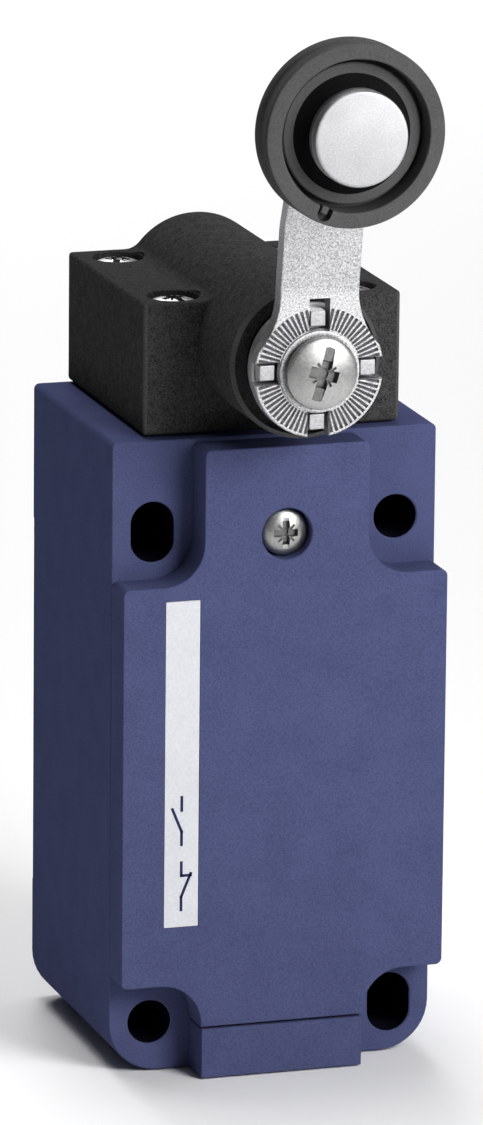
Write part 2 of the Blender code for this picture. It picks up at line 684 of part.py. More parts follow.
def make_head():
    half = HEAD_WIDTH / 2
    centre = (0, SHAFT_Z)
    plan = rectangle((-half, HEAD_FRONT), (half, HEAD_BACK), HEAD_EDGE_RADIUS, 2)
    head = prism("head_housing", plan, "Z", HEAD_FOOT, HEAD_TOP, HEAD_BLACK)
    chamfer = BARREL_CHAMFER
    barrel = turned(
        "barrel",
        [
            (0, BARREL_FRONT),
            (BARREL_RADIUS - chamfer, BARREL_FRONT),
            (BARREL_RADIUS, BARREL_FRONT + chamfer),
            (BARREL_RADIUS, HEAD_BACK - chamfer),
            (BARREL_RADIUS - chamfer, HEAD_BACK),
            (0, HEAD_BACK),
        ],
        "Y",
        centre,
        FINE,
    )
    add(head, barrel)

    # The bore steps from the seal and bush down to the cam, then to the tail bearing.
    bush_seat = BUSH_RADIUS + BUSH_CLEARANCE
    bore_end = BARREL_FRONT + SEAL_LENGTH + BUSH_LENGTH + 4 * SEAT_GAP
    bore_start = BARREL_FRONT - OVERCUT
    cut(head, rod("bush_seat", centre, bush_seat, "Y", bore_start, bore_end, MEDIUM))
    cam_end = HEAD_BACK - HEAD_BACK_WALL
    cam_start = bore_end - OVERCUT
    cut(head, rod("cam_chamber", centre, CAM_CHAMBER_RADIUS, "Y", cam_start, cam_end, MEDIUM))
    tail = SHAFT_RADIUS + RUNNING_GAP
    tail_end = cam_end + TAIL_BEARING_DEPTH
    cut(head, rod("tail_bearing", centre, tail, "Y", cam_end - OVERCUT, tail_end, MEDIUM))
    well_radius = PLUNGER_HEAD_RADIUS + SPRING_POCKET_GAP
    under = HEAD_FOOT - OVERCUT
    cut(head, rod("plunger_well", (0, PLUNGER_Y), well_radius, "Z", under, SHAFT_Z, COARSE))
    groove = [
        (HEAD_SEAL_RADIUS - SIDE_GAP, under),
        (HEAD_SEAL_RADIUS + GASKET_WIDTH + SIDE_GAP, under),
        (HEAD_SEAL_RADIUS + GASKET_WIDTH + SIDE_GAP, HEAD_FOOT + GASKET_THICKNESS + SIDE_GAP),
        (HEAD_SEAL_RADIUS - SIDE_GAP, HEAD_FOOT + GASKET_THICKNESS + SIDE_GAP),
    ]
    cut(head, turned("seal_groove", groove, "Z", (0, PLUNGER_Y), COARSE, ring=True))
    seal = washer(
        "head_gasket",
        HEAD_SEAL_RADIUS,
        HEAD_SEAL_RADIUS + GASKET_WIDTH,
        "Z",
        (0, PLUNGER_Y),
        HEAD_FOOT,
        HEAD_FOOT + GASKET_THICKNESS,
        COARSE,
        SEAL_RUBBER,
    )

    pieces = [head, seal]
    floor = HEAD_TOP - HEAD_COUNTERBORE_DEPTH
    wide, way = HEAD_COUNTERBORE_RADIUS, PAN_HEAD[2] + SCREW_CLEARANCE
    tip = BODY_TOP - HEAD_SCREW_REACH
    for number, spot in enumerate(head_screw_places(), 1):
        cut(head, rod(f"head_counterbore_{number}", spot, wide, "Z", floor, HEAD_TOP + OVERCUT))
        cut(head, rod(f"head_screw_way_{number}", spot, way, "Z", under, floor + OVERCUT))
        pieces.append(screw(f"head_screw_{number}", PAN_HEAD, "Z", spot, floor + SIDE_GAP, tip))

    start = BARREL_FRONT + SEAT_GAP
    for name, length, material in (
        ("shaft_seal", SEAL_LENGTH, SEAL_RUBBER),
        ("shaft_bush", BUSH_LENGTH, BRONZE),
    ):
        end = start + length
        pieces.append(washer(name, tail, BUSH_RADIUS, "Y", centre, start, end, MEDIUM, material))
        start = end + SEAT_GAP
    return pieces


# ---------------------------------------------------------------- lever and shaft

def lever_outline():
    """The plate seen from the front: a notched disc below, and a round-ended arm."""
    notch_half = LEVER_WINDOW_WIDTH / 2
    notch_angle = math.degrees(math.asin(notch_half / LEVER_DISC_RADIUS))
    arm_half = LEVER_WIDTH / 2
    flank_centre = (arm_half + LEVER_FLANK_RADIUS, LEVER_FLANK_START)
    to_centre = math.hypot(*flank_centre)
    base = math.atan2(flank_centre[1], flank_centre[0])
    spread = LEVER_DISC_RADIUS**2 + to_centre**2 - LEVER_FLANK_RADIUS**2
    spread /= 2 * LEVER_DISC_RADIUS * to_centre
    meet = base - math.acos(min(spread, 1.0))
    meet_x, meet_z = LEVER_DISC_RADIUS * math.cos(meet), LEVER_DISC_RADIUS * math.sin(meet)
    flank_end = 360 + math.degrees(math.atan2(meet_z - flank_centre[1], meet_x - flank_centre[0]))
    right = arc((0, LEVER_LENGTH), arm_half, 90, 0, 8)
    right += arc(flank_centre, LEVER_FLANK_RADIUS, 180, flank_end, 6)
    right += arc((0, 0), LEVER_DISC_RADIUS, math.degrees(meet), notch_angle, 2)[1:]
    right += [(LEVER_WINDOW_START, notch_half), (LEVER_WINDOW_START, -notch_half)]
    right += arc((0, 0), LEVER_DISC_RADIUS, -notch_angle, -90 + notch_angle, 9)
    right += [(notch_half, -LEVER_WINDOW_START)]
    left = [(-a, b) for a, b in reversed(right[1:])]
    return [(a, SHAFT_Z + b) for a, b in right + left]


def lean(height):
    """How far the arm has come forward at a height above the shaft."""
    upper_bend = LEVER_LENGTH - UPPER_BEND_FROM_TOP
    if height <= LOWER_BEND:
        return 0.0
    if height <= MIDDLE_BEND:
        return LOWER_LEAN * (height - LOWER_BEND) / (MIDDLE_BEND - LOWER_BEND)
    share = min((height - MIDDLE_BEND) / (upper_bend - MIDDLE_BEND), 1.0)
    return LOWER_LEAN + UPPER_LEAN * share


def make_lever_plate():
    plate = prism("lever_arm", lever_outline(), "Y", LEVER_FRONT, LEVER_BACK, LEVER_ZINC)
    shape = bmesh.new()
    shape.from_mesh(plate.data)
    for height in (LOWER_BEND, MIDDLE_BEND, LEVER_LENGTH - UPPER_BEND_FROM_TOP):
        geometry = shape.verts[:] + shape.edges[:] + shape.faces[:]
        spot = (0, 0, SHAFT_Z + height)
        bmesh.ops.bisect_plane(shape, geom=geometry, dist=1e-7, plane_co=spot, plane_no=(0, 0, 1))
    for vert in shape.verts:
        vert.co.y -= lean(vert.co.z - SHAFT_Z)
    shape.to_mesh(plate.data)
    shape.free()
    half = LEVER_WINDOW_WIDTH / 2
    window_low = (-half, LEVER_FRONT - OVERCUT, SHAFT_Z + LEVER_WINDOW_START)
    window_high = (half, LEVER_BACK + OVERCUT, SHAFT_Z + LEVER_WINDOW_END)
    cut(plate, block("lever_window", window_low, window_high))
    hole = CLAMP_HEAD[2] + SCREW_CLEARANCE
    start, end = LEVER_FRONT - OVERCUT, LEVER_BACK + OVERCUT
    cut(plate, rod("lever_screw_way", (0, SHAFT_Z), hole, "Y", start, end))
    start, end = ARM_TOP_FRONT - OVERCUT, ARM_TOP_FRONT + LEVER_THICKNESS + OVERCUT
    cut(plate, rod("pin_way", (0, ROLLER_Z), PIN_RADIUS + SIDE_GAP, "Y", start, end))
    return plate


def make_lever():
    centre = (0, SHAFT_Z)
    plate = make_lever_plate()
    bore = SHAFT_RADIUS + SIDE_GAP
    hub = washer("drive_hub", bore, HUB_RADIUS, "Y", centre, HUB_FRONT, HUB_BACK, MEDIUM, LEVER_ZINC)
    lug_front = LEVER_FRONT + LUG_RECESS
    half = LUG_SIZE / 2
    for number, (a, b) in enumerate(((1, 0), (0, 1), (-1, 0), (0, -1))):
        x, z = a * LUG_CIRCLE, SHAFT_Z + b * LUG_CIRCLE
        lug_low = (x - half, lug_front, z - half)
        lug_high = (x + half, HUB_FRONT + OVERCUT, z + half)
        add(hub, block(f"lug_{number}", lug_low, lug_high))

    tail_end = HEAD_BACK - HEAD_BACK_WALL + TAIL_BEARING_DEPTH - SEAT_GAP
    clip_y = BARREL_FRONT + SEAL_LENGTH + BUSH_LENGTH + 5 * SEAT_GAP
    groove_radius = SHAFT_RADIUS - CIRCLIP_GROOVE_DEPTH
    profile = [
        (0, HUB_FRONT),
        (SHAFT_RADIUS, HUB_FRONT),
        (SHAFT_RADIUS, clip_y - SIDE_GAP),
        (groove_radius, clip_y - SIDE_GAP),
        (groove_radius, clip_y + STRIP + SIDE_GAP),
        (SHAFT_RADIUS, clip_y + STRIP + SIDE_GAP),
        (SHAFT_RADIUS, tail_end),
        (0, tail_end),
    ]
    shaft = turned("drive_shaft", profile, "Y", centre, MEDIUM, SPRING_STEEL)
    screw_tip = HUB_FRONT + CLAMP_SCREW_REACH
    hole = CLAMP_HEAD[2] + SCREW_CLEARANCE
    cut(shaft, rod("clamp_hole", centre, hole, "Y", HUB_FRONT - OVERCUT, screw_tip + SEAT_GAP))

    clip_radius = SHAFT_RADIUS + CIRCLIP_BAND
    clip = washer(
        "shaft_circlip",
        groove_radius + SIDE_GAP,
        clip_radius,
        "Y",
        centre,
        clip_y,
        clip_y + STRIP,
        COARSE,
        SPRING_STEEL,
    )
    mouth_low = (-CIRCLIP_MOUTH / 2, clip_y - OVERCUT, SHAFT_Z)
    mouth_high = (CIRCLIP_MOUTH / 2, clip_y + STRIP + OVERCUT, SHAFT_Z + clip_radius + OVERCUT)
    cut(clip, block("circlip_mouth", mouth_low, mouth_high))

    # The cam has a flat facing the plunger and one on the far side.
    cam = washer(
        "shaft_cam",
        bore,
        CAM_RADIUS,
        "Y",
        centre,
        PLUNGER_Y - CAM_LENGTH / 2,
        PLUNGER_Y + CAM_LENGTH / 2,
        MEDIUM,
        SPRING_STEEL,
    )
    flat = CAM_RADIUS - CAM_FLAT_DEPTH
    for name, side in (("lower_flat", -1), ("upper_flat", 1)):
        near, far = sorted((SHAFT_Z + side * flat, SHAFT_Z + side * (CAM_RADIUS + OVERCUT)))
        low = (-CAM_RADIUS, PLUNGER_Y - CAM_LENGTH, near)
        cut(cam, block(name, low, (CAM_RADIUS, PLUNGER_Y + CAM_LENGTH, far)))

    ring_back = LEVER_FRONT - SIDE_GAP
    ring_front = ring_back - LOCK_WASHER_THICKNESS
    wide = LOCK_WASHER_RADIUS
    ring = washer(
        "lock_washer", hole, wide, "Y", centre, ring_front, ring_back, COARSE, SCREW_STEEL
    )
    clamp = screw("lever_screw", CLAMP_HEAD, "Y", centre, ring_front - SIDE_GAP, screw_tip)
    return [plate, hub, shaft, clip, cam, ring, clamp]


# ---------------------------------------------------------------- roller and pin

def make_roller():
    back, front = ROLLER_BACK, ROLLER_FRONT
    bore = PIN_RADIUS + SIDE_GAP
    rim_inner = ROLLER_RADIUS - ROLLER_RIM
    face_radius = rim_inner - ROLLER_GROOVE
    face = front + ROLLER_FACE_DEPTH
    edge, waist = ROLLER_EDGE, ROLLER_WAIST_DEPTH
    land = ROLLER_WIDTH * ROLLER_LAND_SHARE
    waist_edge = ROLLER_WIDTH * ROLLER_WAIST_SHARE
    groove_floor = front + ROLLER_GROOVE_DEPTH
    boss = front - PIN_HEAD_PROUD + PIN_HEAD_THICKNESS + SIDE_GAP
    profile = [
        (bore, back),
        (ROLLER_RADIUS - edge, back),
        (ROLLER_RADIUS, back - edge),
        (ROLLER_RADIUS, back - land),
        (ROLLER_RADIUS - waist, back - waist_edge),
        (ROLLER_RADIUS - waist, front + waist_edge),
        (ROLLER_RADIUS, front + land),
        (ROLLER_RADIUS, front + edge),
        (ROLLER_RADIUS - edge, front),
        (rim_inner, front),
        (rim_inner, groove_floor),
        (face_radius, groove_floor),
        (face_radius, face),
        (ROLLER_BOSS_BASE, face),
        (ROLLER_BOSS_TOP, boss),
        (bore, boss),
    ]
    return turned("roller", profile, "Y", (0, ROLLER_Z), FINE, ROLLER_GREY, ring=True)


def make_pin():
    centre = (0, ROLLER_Z)
    head_front = ROLLER_FRONT - PIN_HEAD_PROUD
    head_back = head_front + PIN_HEAD_THICKNESS
    edge = PIN_EDGE
    arm_back = ARM_TOP_FRONT + LEVER_THICKNESS + SIDE_GAP
    rivet_end = arm_back + RIVET_THICKNESS
    rivet = PIN_RADIUS + RIVET_RIM
    pin_profile = [
        (0, head_front),
        (PIN_HEAD_RADIUS - edge, head_front),
        (PIN_HEAD_RADIUS, head_front + edge),
        (PIN_HEAD_RADIUS, head_back),
        (PIN_RADIUS, head_back),
        (PIN_RADIUS, arm_back),
        (rivet, arm_back),
        (rivet - edge, rivet_end),
        (0, rivet_end),
    ]
    pin = turned("roller_pin", pin_profile, "Y", centre, MEDIUM, LEVER_ZINC)
    spacer_back = ARM_TOP_FRONT - SEAT_GAP
    spacer = washer(
        "roller_spacer",
        PIN_RADIUS + SIDE_GAP,
        SPACER_RADIUS,
        "Y",
        centre,
        spacer_back - SPACER_THICKNESS,
        spacer_back,
        COARSE,
        SCREW_STEEL,
    )
    return [pin, spacer]


# ---------------------------------------------------------------- plunger

def make_plunger():
    top = SHAFT_Z - CAM_RADIUS - SEAT_GAP
    under_head = top - PLUNGER_HEAD_HEIGHT
    tip = CARRIER_TOP + SEAT_GAP
    edge = PLUNGER_EDGE
    profile = [
        (0, tip),
        (PLUNGER_STEM_RADIUS - edge, tip),
        (PLUNGER_STEM_RADIUS, tip + edge),
        (PLUNGER_STEM_RADIUS, under_head),
        (PLUNGER_HEAD_RADIUS, under_head),
        (PLUNGER_HEAD_RADIUS, top - edge),
        (PLUNGER_HEAD_RADIUS - edge, top),
        (0, top),
    ]
    plunger = turned("head_plunger", profile, "Z", (0, PLUNGER_Y), COARSE, SPRING_STEEL)
    spring_radius = (PLUNGER_STEM_RADIUS + PLUNGER_HEAD_RADIUS) / 2
    spring = coil(
        "plunger_spring",
        (0, PLUNGER_Y),
        BODY_TOP - SPRING_POCKET_DEPTH + SEAT_GAP,
        under_head - SEAT_GAP,
        spring_radius,
        PLUNGER_SPRING_WIRE,
        PLUNGER_SPRING_TURNS,
        SPRING_STEEL,
    )
    return plunger, spring


# ---------------------------------------------------------------- contact block

def bridge_levels():
    """The middle height of the upper and lower moving contact bridges."""
    return (CARRIER_TOP - UPPER_BRIDGE_DROP, CARRIER_TOP - LOWER_BRIDGE_DROP)


def make_block():
    low = (-BLOCK_HALF, BLOCK_FRONT, BLOCK_FOOT)
    base = block("contact_block_base", low, (BLOCK_HALF, BLOCK_BACK, BLOCK_TOP), BLOCK_CREAM)
    ear_low = (-BLOCK_HALF, BLOCK_BACK - EAR_THICKNESS, BLOCK_FOOT - EAR_HEIGHT)
    add(base, block("ear", ear_low, (BLOCK_HALF, BLOCK_BACK, BLOCK_FOOT + OVERCUT)))
    pocket_half = BLOCK_POCKET_WIDTH / 2
    pocket_low = (-pocket_half, BLOCK_FRONT - OVERCUT, BLOCK_FOOT + BLOCK_WALL)
    pocket_high = (pocket_half, BLOCK_BACK - BLOCK_POCKET_BACK, BLOCK_TOP - BLOCK_WALL)
    cut(base, block("contact_pocket", pocket_low, pocket_high))
    half = CARRIER_WIDTH / 2 + SCREW_CLEARANCE
    way_low = (-half, PLUNGER_Y - half, BLOCK_TOP - BLOCK_WALL - OVERCUT)
    cut(base, block("carrier_way", way_low, (half, PLUNGER_Y + half, BLOCK_TOP + OVERCUT)))

    pieces = [base]
    seat = BLOCK_BACK - EAR_THICKNESS - SIDE_GAP
    tip = -BACK_WALL + BACK_SCREW_REACH
    hole = TERMINAL_HEAD[2] + SCREW_CLEARANCE
    for number, spot in enumerate(ear_screw_places(), 1):
        cut(base, rod(f"ear_hole_{number}", spot, hole, "Y", seat - OVERCUT, BLOCK_BACK + OVERCUT))
        pieces.append(screw(f"block_screw_{number}", TERMINAL_HEAD, "Y", spot, seat, tip))

    plate_half = pocket_half - STRIP - 2 * SEAT_GAP
    plate_back = BLOCK_FRONT - SEAT_GAP
    plate_low = (-plate_half, plate_back - BLOCK_COVER_THICKNESS, BLOCK_FOOT + BLOCK_WALL / 2)
    plate_high = (plate_half, plate_back, BLOCK_TOP - BLOCK_WALL / 2)
    pieces.append(block("contact_block_cover", plate_low, plate_high, BLOCK_GREY))

    number = 0
    for level, lift in zip(bridge_levels(), (1, -1)):
        for side in (-1, 1):
            number += 1
            pieces += make_terminal(base, number, side, level, lift)
    return pieces


def make_terminal(base, number, side, level, lift):
    """A fixed contact with its clamp and screw: above its bridge if lift is 1, else below."""
    gap = SEAT_GAP if lift > 0 else SEAT_GAP + PLUNGER_TRAVEL
    near = level + lift * (STRIP / 2 + gap)
    inner = side * (BLOCK_POCKET_WIDTH / 2 - SEAT_GAP)
    wall = inner - side * STRIP
    tab_end = inner - side * TERMINAL_TAB_REACH
    tab_back = PLUNGER_Y + TERMINAL_TAB_WIDTH / 2
    face = BLOCK_FRONT - SEAT_GAP
    name = f"fixed_contact_{number}"

    def strip(title, x_pair, y_pair, z_pair, material=None):
        low = (min(x_pair), min(y_pair), min(z_pair))
        return block(title, low, (max(x_pair), max(y_pair), max(z_pair)), material)

    leg = near + lift * TERMINAL_LEG
    contact = strip(name, (wall, inner), (face - STRIP, tab_back), (near, leg), BRASS)
    tab_front = PLUNGER_Y - TERMINAL_TAB_WIDTH / 2
    tab_depth = (tab_front, tab_back - STRIP_JOIN)
    tab = strip(name + "_tab", (tab_end, inner), tab_depth, (near, near + lift * STRIP))
    middle = (near + leg) / 2
    half = TERMINAL_SIZE / 2
    screw_x = side * TERMINAL_PITCH / 2
    outer = screw_x + side * half
    palm_width = (wall + side * STRIP_JOIN, outer)
    palm_height = (middle - half, middle + half)
    palm = strip(name + "_palm", palm_width, (face - STRIP, face), palm_height)
    add(contact, tab, palm)
    hole = TERMINAL_HEAD[2] + SCREW_CLEARANCE
    spot = (screw_x, middle)
    cut(contact, rod(name + "_hole", spot, hole, "Y", face - 2 * OVERCUT, face + OVERCUT))
    tip = BLOCK_FRONT + TERMINAL_SCREW_REACH
    cut(base, rod(f"terminal_hole_{number}", spot, hole, "Y", BLOCK_FRONT - OVERCUT, tip + SEAT_GAP))

    clamp_back = face - STRIP - SEAT_GAP
    clamp_front = clamp_back - CLAMP_THICKNESS
    clamp_half = half - SEAT_GAP
    clamp_low = (screw_x - clamp_half, clamp_front, middle - clamp_half)
    clamp_high = (screw_x + clamp_half, clamp_back, middle + clamp_half)
    clamp = block(f"terminal_clamp_{number}", clamp_low, clamp_high, SCREW_STEEL)
    cut(clamp, rod(f"clamp_hole_{number}", spot, hole, "Y", clamp_front - OVERCUT, clamp_back + OVERCUT))
    seat = clamp_front - SIDE_GAP
    fastener = screw(f"terminal_screw_{number}", TERMINAL_HEAD, "Y", spot, seat, tip, "slot")
    return [contact, clamp, fastener]


def make_carrier():
    half = CARRIER_WIDTH / 2
    foot = CARRIER_TOP - CARRIER_LENGTH
    low = (-half, PLUNGER_Y - half, foot)
    carrier = block("contact_carrier", low, (half, PLUNGER_Y + half, CARRIER_TOP), BLOCK_GREY)
    pieces = [carrier]
    window = BRIDGE_WIDTH / 2 + SEAT_GAP
    for number, level in enumerate(bridge_levels(), 1):
        window_low = (-half - OVERCUT, PLUNGER_Y - window, level - STRIP / 2 - SEAT_GAP)
        window_high = (half + OVERCUT, PLUNGER_Y + window, level + STRIP / 2 + SEAT_GAP)
        cut(carrier, block(f"bridge_window_{number}", window_low, window_high))
        reach, width = BRIDGE_LENGTH / 2, BRIDGE_WIDTH / 2
        bridge_low = (-reach, PLUNGER_Y - width, level - STRIP / 2)
        bridge_high = (reach, PLUNGER_Y + width, level + STRIP / 2)
        pieces.append(block(f"moving_bridge_{number}", bridge_low, bridge_high, BRASS))
    floor = BLOCK_FOOT + BLOCK_WALL
    spring = coil(
        "return_spring",
        (0, PLUNGER_Y),
        floor + SEAT_GAP,
        foot - SEAT_GAP,
        half - RETURN_SPRING_WIRE,
        RETURN_SPRING_WIRE,
        RETURN_SPRING_TURNS,
        SPRING_STEEL,
    )
    return pieces, spring


def make_earth_terminal():
    x, z = earth_place()
    half = TERMINAL_SIZE / 2 - SEAT_GAP
    back = -BACK_WALL - SEAT_GAP
    front = back - CLAMP_THICKNESS
    clamp = block("earth_clamp", (x - half, front, z - half), (x + half, back, z + half), BRASS)
    hole = TERMINAL_HEAD[2] + SCREW_CLEARANCE
    cut(clamp, rod("earth_clamp_hole", (x, z), hole, "Y", front - OVERCUT, back + OVERCUT))
    tip = -BACK_WALL + BACK_SCREW_REACH
    fastener = screw("earth_screw", TERMINAL_HEAD, "Y", (x, z), front - SIDE_GAP, tip)
    return [clamp, fastener]


# ---------------------------------------------------------------- assembly

make_housing()
make_block()
make_earth_terminal()
make_head()
ride_on("cover_slide", (0, FLANGE, 0), make_cover())
lever_axis = (0, LEVER_FRONT, SHAFT_Z)
ride_on("lever_axis", lever_axis, make_lever() + make_pin())
ride_on("roller_axis", (0, ROLLER_FRONT, ROLLER_Z), [make_roller()])
ride_on("plunger_slide", (0, PLUNGER_Y, HEAD_FOOT), list(make_plunger()))
carrier_pieces, return_spring = make_carrier()
ride_on("carrier_slide", (0, PLUNGER_Y, CARRIER_TOP), carrier_pieces + [return_spring])
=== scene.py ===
import math

import bmesh
import bpy
from mathutils import Matrix, Vector
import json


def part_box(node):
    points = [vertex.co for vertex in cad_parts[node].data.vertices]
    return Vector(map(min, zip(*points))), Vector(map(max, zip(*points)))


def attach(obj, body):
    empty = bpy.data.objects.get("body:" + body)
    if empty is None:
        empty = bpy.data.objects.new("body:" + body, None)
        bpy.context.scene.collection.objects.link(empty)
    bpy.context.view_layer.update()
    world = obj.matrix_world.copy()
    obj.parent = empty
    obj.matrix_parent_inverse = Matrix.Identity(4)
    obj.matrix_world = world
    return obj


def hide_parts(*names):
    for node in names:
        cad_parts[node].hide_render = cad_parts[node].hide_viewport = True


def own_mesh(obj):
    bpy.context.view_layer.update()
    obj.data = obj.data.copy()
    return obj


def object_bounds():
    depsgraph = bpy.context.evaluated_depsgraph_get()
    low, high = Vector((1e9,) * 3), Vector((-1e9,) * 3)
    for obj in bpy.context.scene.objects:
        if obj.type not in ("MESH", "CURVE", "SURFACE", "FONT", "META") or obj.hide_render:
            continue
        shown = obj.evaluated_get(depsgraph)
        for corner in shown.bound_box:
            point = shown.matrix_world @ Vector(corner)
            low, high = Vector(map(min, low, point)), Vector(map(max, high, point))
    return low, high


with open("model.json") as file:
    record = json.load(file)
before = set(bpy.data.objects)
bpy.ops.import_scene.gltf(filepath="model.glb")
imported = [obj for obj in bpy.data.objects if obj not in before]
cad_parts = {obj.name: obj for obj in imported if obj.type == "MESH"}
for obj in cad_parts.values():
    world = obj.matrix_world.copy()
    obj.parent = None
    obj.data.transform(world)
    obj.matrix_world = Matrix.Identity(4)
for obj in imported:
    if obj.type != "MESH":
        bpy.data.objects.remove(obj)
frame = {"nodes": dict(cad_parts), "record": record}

cad_low, cad_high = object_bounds()
scene = bpy.context.scene
scene.view_settings.view_transform = "Standard"

# ---------------------------------------------------------------- Studio
# A pale table under the switch, a soft key light close to the right of the front,
# weak fill from the left and above, a lit backdrop, and a long lens from the left.

FLOOR_HALF, FLOOR_GAP = 3.0, 0.0002
floor_shape = bmesh.new()
bmesh.ops.create_grid(floor_shape, x_segments=1, y_segments=1, size=FLOOR_HALF)
bmesh.ops.translate(floor_shape, verts=floor_shape.verts, vec=(0, 0, cad_low[2] - FLOOR_GAP))
floor_mesh = bpy.data.meshes.new("floor")
floor_shape.to_mesh(floor_mesh)
floor_shape.free()
floor = bpy.data.objects.new("floor", floor_mesh)
scene.collection.objects.link(floor)
floor_paint = bpy.data.materials.new("floor_paint")
floor_paint.use_nodes = True
floor_shader = floor_paint.node_tree.nodes["Principled BSDF"]
floor_shader.inputs["Base Color"].default_value = (0.88, 0.88, 0.88, 1)
floor_shader.inputs["Roughness"].default_value = 0.9
floor_mesh.materials.append(floor_paint)

world = bpy.data.worlds.new("studio")
world.use_nodes = True
room = world.node_tree
direction = room.nodes.new("ShaderNodeTexCoord")
parts = room.nodes.new("ShaderNodeSeparateXYZ")
room.links.new(direction.outputs["Generated"], parts.inputs["Vector"])
dimming = room.nodes.new("ShaderNodeMapRange")
for socket, value in (("From Min", -0.7), ("From Max", 0.8), ("To Min", 0.0), ("To Max", 0.30)):
    dimming.inputs[socket].default_value = value
room.links.new(parts.outputs["X"], dimming.inputs["Value"])
room.links.new(dimming.outputs["Result"], room.nodes["Background"].inputs["Strength"])
room.nodes["Background"].inputs["Color"].default_value = (1.0, 1.0, 1.0, 1)
scene.world = world


def lamp(name, kind, place, aim, power):
    """A light of the given kind at a place, pointed at its aim."""
    light = bpy.data.lights.new(name, kind)
    light.energy = power
    holder = bpy.data.objects.new(name, light)
    holder.location = place
    holder.rotation_euler = (Vector(aim) - Vector(place)).to_track_quat("-Z", "Y").to_euler()
    scene.collection.objects.link(holder)
    return light


daylight = lamp("window", "SUN", (0.45, -0.80, 0.60), (0, 0, 0), 0.5)
daylight.angle = math.radians(25)
key = lamp("key", "AREA", (0.12, -0.27, 0.11), (0, -0.03, 0.01), 0.80)
key.size = 0.14
overhead = lamp("overhead", "AREA", (-0.06, 0.10, 0.60), (0, 0.02, 0.03), 2.0)
overhead.size = 0.3
backdrop = lamp("backdrop", "AREA", (0.1, 1.1, 0.8), (0.1, 1.0, -0.05), 11.0)
backdrop.size = 0.6
side_strip = lamp("strip", "AREA", (-0.75, -0.30, 0.25), (0, 0, 0.02), 0.10)
side_strip.shape = "RECTANGLE"
side_strip.size = 0.06
side_strip.size_y = 0.6

CAMERA_AIM = Vector((0.0, -0.036, -0.016))
CAMERA_TURN = math.radians(-17.71)
CAMERA_LIFT = math.radians(14.06)
CAMERA_ROLL = math.radians(0.553)
CAMERA_DISTANCE = 0.9943
CAMERA_SIDE = -0.00462
CAMERA_RISE = 0.01171
FILM_HEIGHT = 24.0
FOCAL_OVER_FILM = 8.430 / 1.125

outward = Vector(
    (
        math.sin(CAMERA_TURN) * math.cos(CAMERA_LIFT),
        -math.cos(CAMERA_TURN) * math.cos(CAMERA_LIFT),
        math.sin(CAMERA_LIFT),
    )
)
level = Vector((math.cos(CAMERA_TURN), math.sin(CAMERA_TURN), 0))
upright = outward.cross(level)
right = level * math.cos(CAMERA_ROLL) + upright * math.sin(CAMERA_ROLL)
up = outward.cross(right)
lens = bpy.data.cameras.new("camera")
lens.sensor_fit = "VERTICAL"
lens.sensor_height = FILM_HEIGHT
lens.lens = FILM_HEIGHT * FOCAL_OVER_FILM
camera = bpy.data.objects.new("camera", lens)
stand = CAMERA_AIM + outward * CAMERA_DISTANCE + right * CAMERA_SIDE + up * CAMERA_RISE
camera.matrix_world = Matrix.Translation(stand) @ Matrix((right, up, outward)).transposed().to_4x4()
scene.collection.objects.link(camera)
scene.camera = camera

# ---------------------------------------------------------------- Housing
# The body is one injection moulding in blue filled thermoplastic, spark-eroded
# to a fine matt grain. The conduit entry and the chamber are cored out of it.

MM = 0.001
UNIT_Y = Vector((0, 1, 0))


def arc_points(centre, radius, start, end, steps):
    """Points on an arc across the front, with angles in degrees."""
    points = []
    for step in range(steps + 1):
        angle = math.radians(start + (end - start) * step / steps)
        points.append((centre[0] + radius * math.cos(angle), centre[1] + radius * math.sin(angle)))
    return points


def slab(points, front, back, corners=(), rim=0.0, back_rim=0.0, steps=4):
    """A plate across Y. corners is a list of (radius, [point numbers]) to round, in plan."""
    shape = bmesh.new()
    ring = [shape.verts.new((x, front, z)) for x, z in points]
    shape.faces.new(ring)
    for radius, numbers in corners:
        bmesh.ops.bevel(
            shape,
            geom=[ring[number] for number in numbers],
            affect="VERTICES",
            offset=radius,
            segments=10,
            profile=0.5,
            material=-1,
        )
    grown = bmesh.ops.extrude_face_region(shape, geom=shape.faces[:])["geom"]
    moved = [item for item in grown if isinstance(item, bmesh.types.BMVert)]
    bmesh.ops.translate(shape, verts=moved, vec=UNIT_Y * (back - front))
    bmesh.ops.recalc_face_normals(shape, faces=shape.faces)
    for width, level_y in ((rim, front), (back_rim, back)):
        if width:
            edges = [e for e in shape.edges if all(abs(v.co.y - level_y) < 1e-7 for v in e.verts)]
            round_edges(shape, edges, width, steps)
    return shape


def round_edges(shape, edges, width, steps=4):
    """Rounds the edges over the given width."""
    bmesh.ops.bevel(
        shape,
        geom=edges,
        affect="EDGES",
        offset=width,
        segments=steps,
        profile=0.5,
        material=-1,
    )


def brick(low, high, rounding=0.0, steps=3):
    """A box between two corners, with its edges rounded if asked."""
    shape = bmesh.new()
    size = Vector(high) - Vector(low)
    middle = (Vector(high) + Vector(low)) / 2
    bmesh.ops.create_cube(shape, size=1.0)
    bmesh.ops.scale(shape, verts=shape.verts, vec=size)
    bmesh.ops.translate(shape, verts=shape.verts, vec=middle)
    if rounding:
        round_edges(shape, shape.edges[:], rounding, steps)
    return shape


